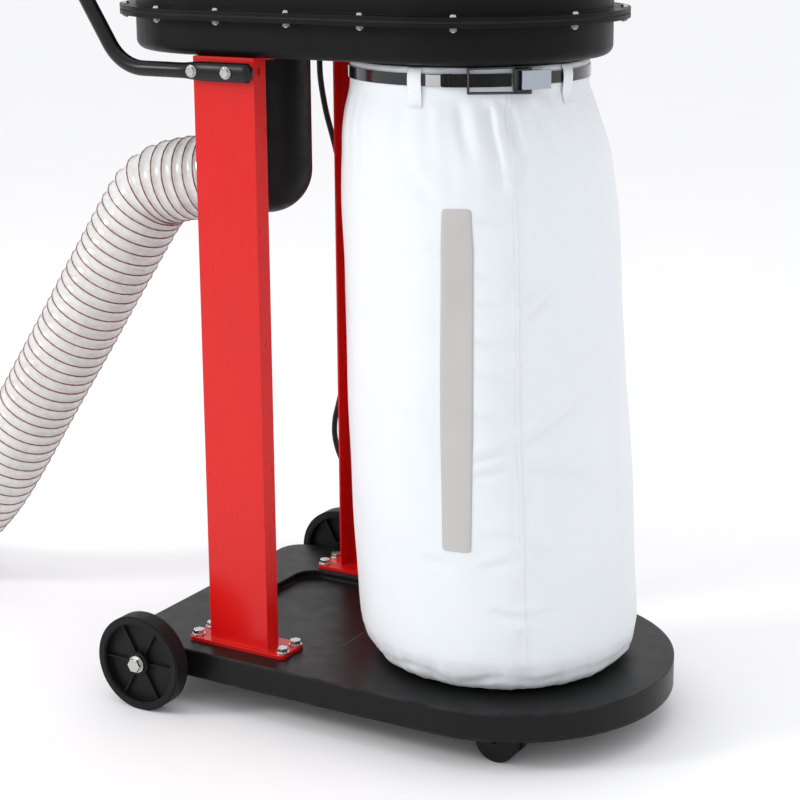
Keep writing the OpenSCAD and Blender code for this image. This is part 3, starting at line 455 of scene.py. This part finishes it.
COPPER = metal("wire_copper", (0.38, 0.19, 0.15), 0.40, tint=(0.26, 0.13, 0.10))
# Darker zinc for the flange nuts: painted shade for where they sit under the head's lip.
NUT_ZINC_PAINTED_SHADE = metal("nut_zinc_painted_shade", (0.20, 0.20, 0.21), 0.34, tint=(0.28, 0.28, 0.28))

for part in frame["record"]["subparts"]:
    mesh = frame["nodes"][part["node"]].data
    mesh.materials.clear()
    # The flange nuts get the darker zinc, a painted shade under the lip.
    mesh.materials.append(NUT_ZINC_PAINTED_SHADE if part["node"] == "flange_nuts" else MATS[part["material_slot"]])

# ---------------------------------------------------------------- hose

HOSE_R, HOSE_WALL, HOSE_WAVE, HOSE_PITCH = 55.4 * MM, 1.1 * MM, 1.25 * MM, 17 * MM
WIRE_R, WIRE_INSET, WIRE_STEPS = 1.15 * MM, 0.25 * MM, 26
HOSE_STEP, HOSE_SIDES = 2.1 * MM, 56
# The hose starts on the elbow's tilted spigot, at these distances from the fan's axis.
ELBOW_Z, TILT = 0.669, math.radians(10)
SPIGOT = (0.060, 0.093, 0.126)
# The hose's way from the elbow to the cuff, as (x from the columns' centre, height), in mm.
HOSE_ROUTE = [(-209, 640), (-233, 629), (-252, 611), (-277, 577), (-309, 530), (-344, 479), (-380, 425),
              (-417, 371), (-454, 317), (-491, 262), (-527, 209), (-563, 161), (-604, 118), (-655, 83),
              (-713, 63), (-776, 57.5), (-842, 56.5), (-908, 56.5), (-974, 56.5), (-1040, 56.5),
              (-1106, 57.5), (-1168, 59.6), (-1230, 59.6)]


def hose_skin(frames, length, inset):
    """The hose's film, waved in a spiral: its crests follow the wire."""
    rings = []
    for i, (p, u, v) in enumerate(frames):
        s = length * i / (len(frames) - 1)
        ring = []
        for a in round_angles(HOSE_SIDES):
            phase = 2 * math.pi * (s / HOSE_PITCH) - a
            wave = math.cos(phase) + 0.25 * math.cos(2 * phase) - 0.25
            r = HOSE_R - HOSE_WAVE + HOSE_WAVE * wave - inset
            ring.append(p + u * (math.cos(a) * r) + v * (math.sin(a) * r))
        rings.append(ring)
    return rings


def hose_wire(frames, length):
    """The points of the wire's helix, just inside the film's crests."""
    turns = length / HOSE_PITCH
    steps = int(turns * WIRE_STEPS)
    r = HOSE_R - WIRE_INSET
    line = []
    for k in range(steps + 1):
        a = 2 * math.pi * turns * k / steps
        where = min(len(frames) - 1.001, k / steps * (len(frames) - 1))
        i = int(where)
        p = frames[i][0].lerp(frames[i + 1][0], where - i)
        u, v = frames[i][1], frames[i][2]
        line.append(p + u * (math.cos(a) * r) + v * (math.sin(a) * r))
    return line


def make_hose():
    spigot = [Vector((FAN_X - d * math.cos(TILT), 0, ELBOW_Z - d * math.sin(TILT))) for d in SPIGOT]
    way = [Vector((COL_X + x * MM, 0, z * MM)) for x, z in HOSE_ROUTE]
    line, length = catmull(spigot + way, HOSE_STEP)
    frames = frames_along(line, Vector((0, 1, 0)))
    outer, inner = (hose_skin(frames, length, inset) for inset in (0.0, HOSE_WALL))
    # the outer skin, then the inner one backwards, closed into one loop of rings
    verts, faces = ring_grid(outer + inner[::-1] + outer[:1])
    count = len(verts) - HOSE_SIDES
    film = new_object("hose_film", verts[:count], [tuple(k % count for k in face) for face in faces])
    finish_piece(film, "hose_plastic", replaces=["hose"])
    wire = curve("hose_wire", [hose_wire(frames, length)], WIRE_R, 1)
    finish_piece(wire, "hose_plastic", COPPER)


make_hose()

# ---------------------------------------------------------------- mains cord and plug

CORD_R, CORD_STEP = 4 * MM, 6 * MM
COIL_X, COIL_Y = COL_X + 0.148, 0.300
COIL_TURNS, COIL_STEPS = 3.5, 20
# The cord's way from its gland to the floor, in mm, measured from the columns' centre.
CORD_ROUTE = [(-68, 150, 800), (-68, 151, 776), (-67, 155, 750), (-65, 161, 722), (-62, 169, 694),
              (-59, 177, 664), (-56, 183, 630), (-52, 186, 590), (-50, 187, 545), (-50, 187, 500),
              (-50, 187, 455), (-52, 187, 410), (-56, 187, 370), (-62, 188, 335), (-70, 189, 306),
              (-77, 190, 282), (-79, 191, 258), (-75, 192, 236), (-66, 194, 214), (-54, 198, 190),
              (-40, 203, 164), (-26, 209, 136), (-13, 216, 108), (-2, 224, 82), (8, 232, 58),
              (19, 240, 36), (32, 247, 18), (48, 253, 8), (66, 259, 4.5), (83, 268, 4.5), (94, 282, 4.5)]
# The coil's loops as (turn, radius, height), in mm, starting half a turn from the plug's side.
COIL = [(0.0, 49.5, 4.5), (0.5, 45.5, 4.5), (1.0, 41, 4.5), (1.2, 41, 7.5), (1.45, 45, 12.4),
        (2.0, 43.5, 12.6), (2.45, 40, 13), (2.7, 41.5, 17.5), (3.0, 43, 20.3), (3.25, 45, 19.8),
        (3.5, 50, 17)]
PLUG = Vector((COIL_X + 0.050, COIL_Y - 0.038, 0.012))
# The plug's boot and body as (distance, half width, half height), in mm.
PLUG_PROFILE = [(0.0, 6.2, 6.2), (6, 7.2, 7.2), (12, 8.6, 8.4), (16, 10.5, 9.4), (19, 14.5, 10.4),
                (24, 16.2, 10.8), (30, 16.6, 11), (36, 16.2, 10.9), (42, 16.8, 11), (49, 16.9, 11),
                (52, 16.2, 10.5), (52.6, 14, 9)]
BOOT_END, SQUARENESS = 18, 0.62
RIDGES = (28, 31.5, 35, 38.5)
PLUG_FACE = 52
# name, sideways, upwards, size; in mm from the middle of the plug's face
PINS = [("blade_0", -6.5, 3, (1.5, 18, 6.3)), ("blade_1", 6.5, 3, (1.5, 18, 6.3)),
        ("earth_pin", 0, -4.5, (4.6, 20, 4.6))]


def ramped(keys, t, column):
    """Value at t between keys, easing in and out of each."""
    for a, b in zip(keys, keys[1:]):
        if t <= b[0]:
            return a[column] + (b[column] - a[column]) * smooth(a[0], b[0], t)
    return keys[-1][column]


def plug_ring(distance, width, height, power, n):
    """A section across the plug; a power under one squares it off."""
    ring = []
    for a in round_angles(n):
        c, s = math.cos(a), math.sin(a)
        ring.append(PLUG + MM * Vector((width * math.copysign(abs(c) ** power, c), -distance,
                                        height * math.copysign(abs(s) ** power, s))))
    return ring


def make_plug():
    """A moulded body with grip ridges, a tapered boot, two blades and a round pin, heading -Y."""
    rings = [plug_ring(d, w, h, SQUARENESS if d > BOOT_END else 1.0, 40) for d, w, h in PLUG_PROFILE]
    body = new_object("plug_body", *ring_grid(rings, caps=True))
    modifier(body, "SUBSURF", levels=1, render_levels=1)
    finish_piece(body, "cord_rubber", replaces=["plug"])
    ridges = []
    for k, distance in enumerate(RIDGES):
        ring = plug_ring(distance, 16.4, 10.9, SQUARENESS, 48)
        ridge = curve(f"plug_ridge_{k}", [ring + ring[:1]], 0.7 * MM, 2)
        ridges.append(finish_piece(ridge, "cord_rubber"))
    pins = []
    for name, x, z, size in PINS:
        pin = rounded_box("plug_" + name, [c * MM for c in size], 0.6 * MM if size[0] < 3 else 2.0 * MM)
        pin.location = PLUG + MM * Vector((x, -PLUG_FACE - size[1] / 2, z))
        pins.append(finish_piece(pin, "cord_rubber", MATS["zinc_steel"]))
    return [body, *pins, *ridges]


def make_cord():
    points = [Vector((COL_X + x * MM, y * MM, z * MM)) for x, y, z in CORD_ROUTE]
    for k in range(int(COIL_TURNS * COIL_STEPS) + 1):
        t = k / COIL_STEPS
        a = math.pi - 2 * math.pi * t
        r, z = ramped(COIL, t, 1) * MM, ramped(COIL, t, 2) * MM
        points.append(Vector((COIL_X + r * math.cos(a), COIL_Y + r * math.sin(a), z)))
    points += [PLUG + MM * Vector((0, y, z)) for y, z in ((24, 3), (10, 0.5), (-4, 0))]
    line, length = catmull(points, CORD_STEP)
    cord = curve("mains_cord", [line], CORD_R, 4)
    finish_piece(cord, "cord_rubber", replaces=["power_cord", "cord_coil"])
    make_plug()


make_cord()

# ---------------------------------------------------------------- bag

# Height, axis (from the ring's axis) and radius of the bag's outside, in mm, from its mouth to its base.
BAG_RINGS = [(824, 0, 144.6), (803, 0, 144.8), (791, 0, 145.2), (778, 1, 148.6), (760, 2.2, 153.5),
             (736, 5.5, 159), (711, 9.3, 162.7), (670, 12, 166.3), (623, 14.6, 169.2), (523, 19.2, 172),
             (396, 26, 174.6), (268, 35.4, 175.4), (139, 43.3, 175.4), (112, 45.2, 172.6), (92, 46.4, 165),
             (80, 47, 152), (76.2, 47, 134), (75.6, 47, 100), (75.6, 47, 50)]
SEAM_DEG = [(75, -52.7), (200, -52.3), (320, -51), (440, -50), (557, -48.4), (673, -47), (754, -45.6),
            (804, -43), (830, -43)]
WINDOW_Z = (259, 666)
WINDOW_EDGES = [(259, 300.3, 335.0), (400, 297.5, 335.0), (480, 296.3, 333.6), (620, 294.9, 330.6),
                (666, 294.4, 326.4)]
# Creases as start and end (mm along the cloth from the seam, and height), depth and width.
FOLDS = [(-31, 786, -14, 676, 4.0, 6.5), (-9, 792, 14, 716, 3.4, 6), (14, 728, 5, 690, 2.0, 5),
         (-70, 788, -52, 720, 2.4, 8), (38, 786, 66, 716, 2.4, 8), (6, 389, 116, 449, 2.6, 6),
         (6, 362, 108, 334, 2.0, 6), (10, 534, 54, 570, 2.2, 5), (8, 560, 30, 572, 1.4, 4.5),
         (-44, 652, -6, 646, 1.6, 5), (-48, 590, -8, 576, 1.5, 4.5), (-42, 556, -6, 548, 1.6, 4.5),
         (-46, 512, -6, 500, 1.9, 5), (-40, 472, -5, 462, 1.6, 4.5), (-46, 425, -5, 414, 1.8, 5),
         (-48, 372, -6, 386, 2.0, 5), (-50, 352, -4, 366, 1.8, 4.5), (-40, 282, -5, 274, 1.4, 4.5),
         (-44, 240, -5, 250, 1.4, 5), (-36, 186, -4, 176, 1.8, 4.5), (4, 176, 40, 184, 1.4, 4.5),
         (-118, 246, -88, 238, 1.8, 5), (-128, 618, -98, 606, 1.6, 5), (8, 262, 34, 256, 1.2, 4.5),
         (60, 470, 130, 492, 1.4, 8), (-130, 700, -96, 672, 1.6, 9), (-150, 420, -112, 404, 1.2, 8)]
FOLD_DEPTH = 1.7
# Heights in mm: where the frill above the strap starts, the strap's lower edge, the base seam, the flat base.
FRILL_Z, STRAP_LOW_Z, BASE_SEAM_Z, BASE_Z = 817, 803, 92, 75.5
# How far below the strap's lower edge the ring inside still holds the cloth, in mm.
RING_REACH = 13
MEAN_R = 172
BAG_X_MM = BAG_X / MM
# Gathers under the strap as (waves round the bag, phase, size).
GATHERS = [(k, rng.uniform(0, 6.28), rng.uniform(0.5, 1.0)) for k in (11, 17, 23, 29, 37, 43)]
# Puckers along the seam as (height, slant, size).
PUCKERS = [(rng.uniform(84, 780), rng.uniform(-1, 1), rng.uniform(0.5, 1.0)) for _ in range(40)]
# Where the belt loops are, round the bag.
LOOP_DEG = (-87, -11.3, 40, 73, 106, 138, 169, 194)
# A loop's way over the strap, as (height, radius) in mm.
LOOP_PATH = [(824, 146.0), (820.5, 147.6), (816, 149.4), (810, 149.9), (803, 149.4), (796, 148.2),
             (788, 147.8), (781, 149.6), (778, 150.4)]
LOOP_W, LOOP_SIDES, LOOP_BEND_R, LOOP_STITCH_Z = 17.5, 8, 148, 780.5


def turn_from(angle, other):
    return (angle - other + math.pi) % (2 * math.pi) - math.pi


def hump(x, width):
    """A bell curve: one at zero, and fading over about a width."""
    return math.exp(-(x / width) ** 2)


def crease(x, z, x0, z0, x1, z1, depth, width):
    """A groove with a soft ridge above it, along a line on the cloth; all in mm."""
    run_x, run_z = x1 - x0, z1 - z0
    length = math.hypot(run_x, run_z)
    along = ((x - x0) * run_x + (z - z0) * run_z) / length
    across = ((z - z0) * run_x - (x - x0) * run_z) / length
    fade = smooth(-12, 8, along) * (1 - smooth(0.45 * length, length + 14, along))
    return fade * depth * (hump(across, width) - 0.55 * hump(across - 1.9 * width, 1.3 * width))


def ripple(turn, scale, z):
    """Smooth noise round the bag; turn is a direction from its axis."""
    return noise.noise(Vector((turn[0] * scale, turn[1] * scale, z)))


def neck_folds(angle, z):
    """Gathers that start under the strap, and the frill above it."""
    below = max(0.0, STRAP_LOW_Z - z)
    gather = smooth(RING_REACH, 34, below) * math.exp(-below / 60)
    d = gather * sum(size * math.cos(k * angle + phase) for k, phase, size in GATHERS)
    if z > FRILL_Z:
        d += 0.9 * smooth(FRILL_Z, 824, z) * math.cos(31 * angle) * (0.6 + 0.4 * math.cos(5 * angle + 1))
    return d


def seam_folds(off, z):
    """The seam's ridge between two shallow valleys, and the creases round it."""
    d = 0.0
    for x0, z0, x1, z1, depth, width in FOLDS:
        if min(z0, z1) - 30 < z < max(z0, z1) + 30:
            d -= FOLD_DEPTH * crease(off * MEAN_R, z, x0, z0, x1, z1, depth, width)
    return d + 0.9 * hump(off, 0.012) - 1.2 * hump(off + 0.035, 0.03) - 1.2 * hump(off - 0.035, 0.03)


def seam_puckers(off, z):
    """Small tucks that the stitching pulls in on both sides of the seam."""
    return sum(1.5 * size * hump(z - height - slant * 14 * abs(off), 4.2)
               * hump(off - 0.03 * slant, 0.05 + 0.03 * size) for height, slant, size in PUCKERS)


def base_folds(turn, z):
    """Short creases that rise from the base seam, and the seam's own groove."""
    rim = hump(z - BASE_SEAM_Z, 26)
    line = 97 + 9 * ripple(turn, 3.4, 8)
    return (rim * 3.0 * ripple(turn, 9, z / 60) + rim * 1.6 * ripple(turn, 24, z / 30 + 3)
            - (2.2 + 2.6 * ripple(turn, 6, 2)) * hump(z - line, 4.5))


def bag_offset(angle, z):
    """How far the cloth stands out from its plain profile, in mm."""
    below = max(0.0, STRAP_LOW_Z - z)
    off = turn_from(angle, math.radians(lookup(SEAM_DEG, z)))
    turn = (math.cos(angle), math.sin(angle))
    d = neck_folds(angle, z)
    broad = smooth(RING_REACH, 120, below) * smooth(76, 150, z)
    d += broad * (3.2 * ripple(turn, 1.3, z / 330) + 3.0 * ripple(turn, 3.1, z / 120 + 5))
    d += smooth(RING_REACH, 30, below) * seam_folds(off, z)
    if abs(off) < 0.3:
        d += seam_puckers(off, z)
    return d + base_folds(turn, z)


def bag_point(angle, row, extra=0.0):
    """A point of the cloth: row is (height, axis, radius) in mm, extra is how far it stands proud."""
    z, axis, r = row
    flat = smooth(120, 150, r) if z < 78 else 1.0
    r += bag_offset(angle, z) * flat + extra
    return MM * Vector((BAG_X_MM + axis + r * math.cos(angle), r * math.sin(angle), max(BASE_Z, z)))


def bag_row(z):
    """Profile at a height between the strap and the base's curve."""
    side = BAG_RINGS[:15]
    return z, lookup(side, z, 1), lookup(side, z, 2)


def make_bag():
    n = 360
    # rows down the bag, close together where it curves
    rows, _ = catmull(BAG_RINGS, 4.5)
    rings, uvs, run = [], [], 0.0
    for i, row in enumerate(rows):
        if i:
            run += (row - rows[i - 1]).length * MM
        rings.append([bag_point(a, row) for a in round_angles(n)])
        uvs += [(a * 0.165, run) for a in round_angles(n)]
    verts, faces = ring_grid(rings)
    base = len(verts) - n
    verts.append(Vector((BAG_X + 0.047, 0, 0.0756)))
    uvs.append((0.5, run + 0.05))
    faces += [(base + j, base + (j + 1) % n, len(verts) - 1) for j in range(n)]
    bag = new_object("bag_shell", verts, [f[::-1] for f in faces], uvs)
    modifier(bag, "SOLIDIFY", thickness=0.9 * MM, offset=-1)
    return finish_piece(bag, "bag_fabric", replaces=["collection_bag"])


def make_window():
    """The window strip, with rounded corners and its edges pressed down a little."""
    rings, uvs = [], []
    cols, corner = 14, 4.0
    low, high = WINDOW_Z
    heights = [low + c for c in (0, 0.3, 0.8, 1.5, 2.4, 3.4, 4.6)]
    heights += [low + 8 + (high - low - 16) * i / 90 for i in range(91)]
    heights += [low + high - z for z in heights[6::-1]]
    for z in heights:
        left, right = lookup(WINDOW_EDGES, z, 1), lookup(WINDOW_EDGES, z, 2)
        mid, half = (left + right) / 2, (right - left) / 2
        near = min(z - low, high - z)
        inset = corner - math.sqrt(max(0, corner ** 2 - max(0, corner - near) ** 2))
        row = bag_row(z)
        axis = BAG_X_MM - COL_X / MM + row[1]
        line = []
        for j in range(cols + 1):
            x = mid + (half - inset) * (2 * j / cols - 1)
            angle = -math.acos(max(-1, min(1, (x - axis) / row[2])))
            edge = min(j, cols - j) / cols
            line.append(bag_point(angle, row, 0.75 + 0.35 * smooth(0, 0.12, edge)))
            uvs.append((x * MM, z * MM))
        rings.append(line)
    window = new_object("bag_window_film", *ring_grid(rings, closed_ring=False), uvs)
    modifier(window, "SOLIDIFY", thickness=0.7 * MM, offset=-1)
    return finish_piece(window, "window_film", replaces=["bag_window"])


def loop_ring(mid, z, r):
    """A row across a loop: against the cloth under the strap, at its own radius over it."""
    row = bag_row(z)
    under = z < 800
    axis = BAG_X_MM + (row[1] if under else 0)
    line = []
    for share in (j / LOOP_SIDES - 0.5 for j in range(LOOP_SIDES + 1)):
        angle = mid + share * LOOP_W / LOOP_BEND_R
        lift = 0.5 * math.cos(math.pi * share) - 0.25
        out = max(r, row[2] + bag_offset(angle, z) + 0.7) + lift if under else r + lift
        line.append(MM * Vector((axis + out * math.cos(angle), out * math.sin(angle), z)))
    return line


def loop_stitch(mid):
    """The row of stitching that holds a loop's lower end."""
    row = bag_row(LOOP_STITCH_Z)
    line = []
    for x in (-7.5, -2.5, 2.5, 7.5):
        angle = mid + x / 150
        r = max(150.2, row[2] + bag_offset(angle, LOOP_STITCH_Z)) + 1.3
        line.append(MM * Vector((BAG_X_MM + row[1] + r * math.cos(angle), r * math.sin(angle),
                                 LOOP_STITCH_Z)))
    return line


def make_loops():
    """Cloth loops that hold the strap, round the neck with one each side of the latch."""
    made = []
    uvs = [(j / LOOP_SIDES * LOOP_W * MM, i * 6 * MM)
           for i in range(len(LOOP_PATH)) for j in range(LOOP_SIDES + 1)]
    for k, mid in enumerate(math.radians(a) for a in LOOP_DEG):
        rings = [loop_ring(mid, z, r) for z, r in LOOP_PATH]
        loop = new_object(f"belt_loop_{k}", *ring_grid(rings, closed_ring=False), uvs)
        modifier(loop, "SUBSURF", levels=1, render_levels=1)
        modifier(loop, "SOLIDIFY", thickness=0.9 * MM, offset=1)
        stitch = curve(f"loop_stitch_{k}", [loop_stitch(mid)], 0.45 * MM, 1)
        made += [finish_piece(loop, "bag_fabric"), finish_piece(stitch, "bag_fabric")]
    return made


def make_seams():
    """Two rows of stitches down the side seam."""
    lines = []
    for shift in (-0.018, 0.018):
        for low in range(92, 796, 5):
            lines.append([bag_point(math.radians(lookup(SEAM_DEG, z)) + shift, bag_row(z), 0.35)
                          for z in (low, low + 1.7, low + 3.4)])
    return finish_piece(curve("seam_stitches", lines, 0.55 * MM, 1), "bag_fabric")


def make_rack_end():
    """Bright clip at the free end of the latch's rack, bent round the strap."""
    rings = []
    for j in range(15):
        a = math.radians(-81.5 + 7.0 * j / 14)
        r = (148.0 + 0.5 * smooth(0, 3, j)) * MM
        rings.append([Vector((BAG_X + r * math.cos(a), r * math.sin(a), z * MM))
                      for z in (803.4, 804.4, 810, 815.6, 816.6)])
    clip = new_object("rack_end_clip", *ring_grid(rings, closed_ring=False))
    modifier(clip, "SOLIDIFY", thickness=0.9 * MM, offset=0)
    modifier(clip, "BEVEL", width=0.3 * MM, segments=2)
    finish_piece(clip, "lever_chrome", MATS["bare_steel"])


make_rack_end()
bag = make_bag()
bag_trim = [make_window(), *make_loops(), make_seams()]

# ---------------------------------------------------------------- push handle

HANDLE_R, HANDLE_BEND, HANDLE_RISE = 9.5 * MM, 60 * MM, math.radians(58)
HANDLE_STEP = 5 * MM
# The ends are pressed flat where they are screwed on: taller by one share, thinner by the other.
FLAT_END, FLAT_TAPER, TALLER, THINNER = 72 * MM, 30 * MM, 0.24, 0.30
SCREW_X = (-35 * MM, 15 * MM)
# A screw as (distance out of the handle's face, radius, whether the section is a hexagon), in mm.
SCREW = [(-24, 3, 0), (0, 3, 0), (0, 7.2, 0), (0.3, 7.6, 0), (1.1, 7.6, 0), (1.4, 7.3, 0), (1.4, 5.5, 1),
         (4.2, 5.5, 1), (4.9, 5.2, 0), (4.9, 3.6, 0), (4.3, 3.2, 0)]


def evenly(points, step):
    """The same line with points added on its straights, so that a spline through it has no kinks."""
    out = [points[0]]
    for a, b in zip(points, points[1:]):
        count = max(1, round((b - a).length / step))
        out += [a.lerp(b, i / count) for i in range(1, count + 1)]
    return out


def handle_line():
    """From one column's screws back, up and across, and down again to the other's."""
    lo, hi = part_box("push_handle")
    level_z, top_z, out_y = lo.z + HANDLE_R, hi.z - HANDLE_R, hi.y - HANDLE_R
    corner_x = lo.x + HANDLE_R + (top_z - level_z) / math.tan(HANDLE_RISE)
    run = HANDLE_BEND * math.tan(HANDLE_RISE / 2)
    length = (top_z - level_z) / math.sin(HANDLE_RISE)
    half = [Vector((COL_X + x * MM, out_y, level_z)) for x in (48, 0, -60)]
    for a in (HANDLE_RISE * i / 12 for i in range(13)):
        half.append(Vector((corner_x + run - HANDLE_BEND * math.sin(a), out_y,
                            level_z + HANDLE_BEND * (1 - math.cos(a)))))
    for a in (math.pi / 2 * i / 12 for i in range(13)):
        up = length - HANDLE_BEND * (1 - math.sin(a))
        half.append(Vector((corner_x - up * math.cos(HANDLE_RISE), out_y - HANDLE_BEND * (1 - math.cos(a)),
                            level_z + up * math.sin(HANDLE_RISE))))
    other = [Vector((p.x, -p.y, p.z)) for p in reversed(half)]
    return catmull(evenly(half + other, HANDLE_STEP), HANDLE_STEP)


def make_handle():
    """A tube whose own up stays near to straight up, so that its flat ends stay upright."""
    line, length = handle_line()
    rings = []
    up = Vector((0, 0, 1))
    for i, p in enumerate(line):
        along = (line[min(i + 1, len(line) - 1)] - line[max(i - 1, 0)]).normalized()
        up = (up - along * up.dot(along)).normalized()
        side = along.cross(up)
        end = min(i, len(line) - 1 - i) / (len(line) - 1) * length
        pressed = 1 - smooth(FLAT_END, FLAT_END + FLAT_TAPER, end)
        nose = math.sqrt(max(0.0, 1 - (1 - min(1.0, end / (6 * MM))) ** 2)) * 0.55 + 0.45
        tall, thin = HANDLE_R * nose * (1 + TALLER * pressed), HANDLE_R * nose * (1 - THINNER * pressed)
        rings.append([p + up * (math.cos(a) * tall) + side * (math.sin(a) * thin) for a in round_angles(40)])
    handle = new_object("handle_tube", *ring_grid(rings, caps=True))
    finish_piece(handle, "handle_paint", replaces=["push_handle"])


def screw_ring(middle, side, out, radius, hexagon):
    """A section of a screw that points out of the machine's side; radius is half a hexagon's width."""
    ring = []
    for a in round_angles(36):
        r = radius / math.cos(a % (math.pi / 3) - math.pi / 6) if hexagon else radius
        ring.append(middle + MM * Vector((r * math.cos(a), side * out, -side * r * math.sin(a))))
    return ring


def make_handle_screws():
    """Hex heads on washers, tight against the handle's flat ends, with their shanks through the columns."""
    handle_lo, handle_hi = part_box("push_handle")
    face_y, level_z = handle_hi.y - HANDLE_R * THINNER, handle_lo.z + HANDLE_R
    verts, faces = [], []
    for x in SCREW_X:
        for side in (-1, 1):
            middle = Vector((COL_X + x, side * face_y, level_z))
            more, grid = ring_grid([screw_ring(middle, side, *row) for row in SCREW], caps=True)
            faces += [tuple(k + len(verts) for k in face) for face in grid]
            verts += more
    screws = new_object("handle_screw_heads", verts, faces, flat=True)
    finish_piece(screws, "zinc_steel", replaces=["handle_screws"])


make_handle()
make_handle_screws()

# ---------------------------------------------------------------- stage and lights

FLOOR_HALF = 40
SKY = (0.975, 0.975, 1.0, 1)
AIM = Vector((0, 0, 0.6))
# name, place, size, power
LIGHTS = [("key", (-2.3, -2.2, 2.0), 0.8, 38), ("top", (0.2, 0.6, 3.4), 2.6, 12)]


def make_stage():
    corners = [(x * FLOOR_HALF, y * FLOOR_HALF, 0) for x, y in ((-1, -1), (1, -1), (1, 1), (-1, 1))]
    floor = new_object("floor", corners, [(0, 1, 2, 3)], flat=True)
    m = Nodes("floor")
    m.colour(m.mix(m.noise(3, 4, 0.5), (0.93, 0.93, 0.93), (0.96, 0.96, 0.96)))
    m.set(Roughness=0.75)
    floor.data.materials.append(m.mat)
    world = bpy.data.worlds.new("world")
    bpy.context.scene.world = world
    world.use_nodes = True
    world.node_tree.nodes["Background"].inputs["Color"].default_value = SKY
    for name, at, size, power in LIGHTS:
        data = bpy.data.lights.new(name, "AREA")
        data.size, data.energy = size, power
        light = place(name, data)
        light.location = at
        light.rotation_euler = (AIM - Vector(at)).to_track_quat("-Z", "Y").to_euler()


make_stage()
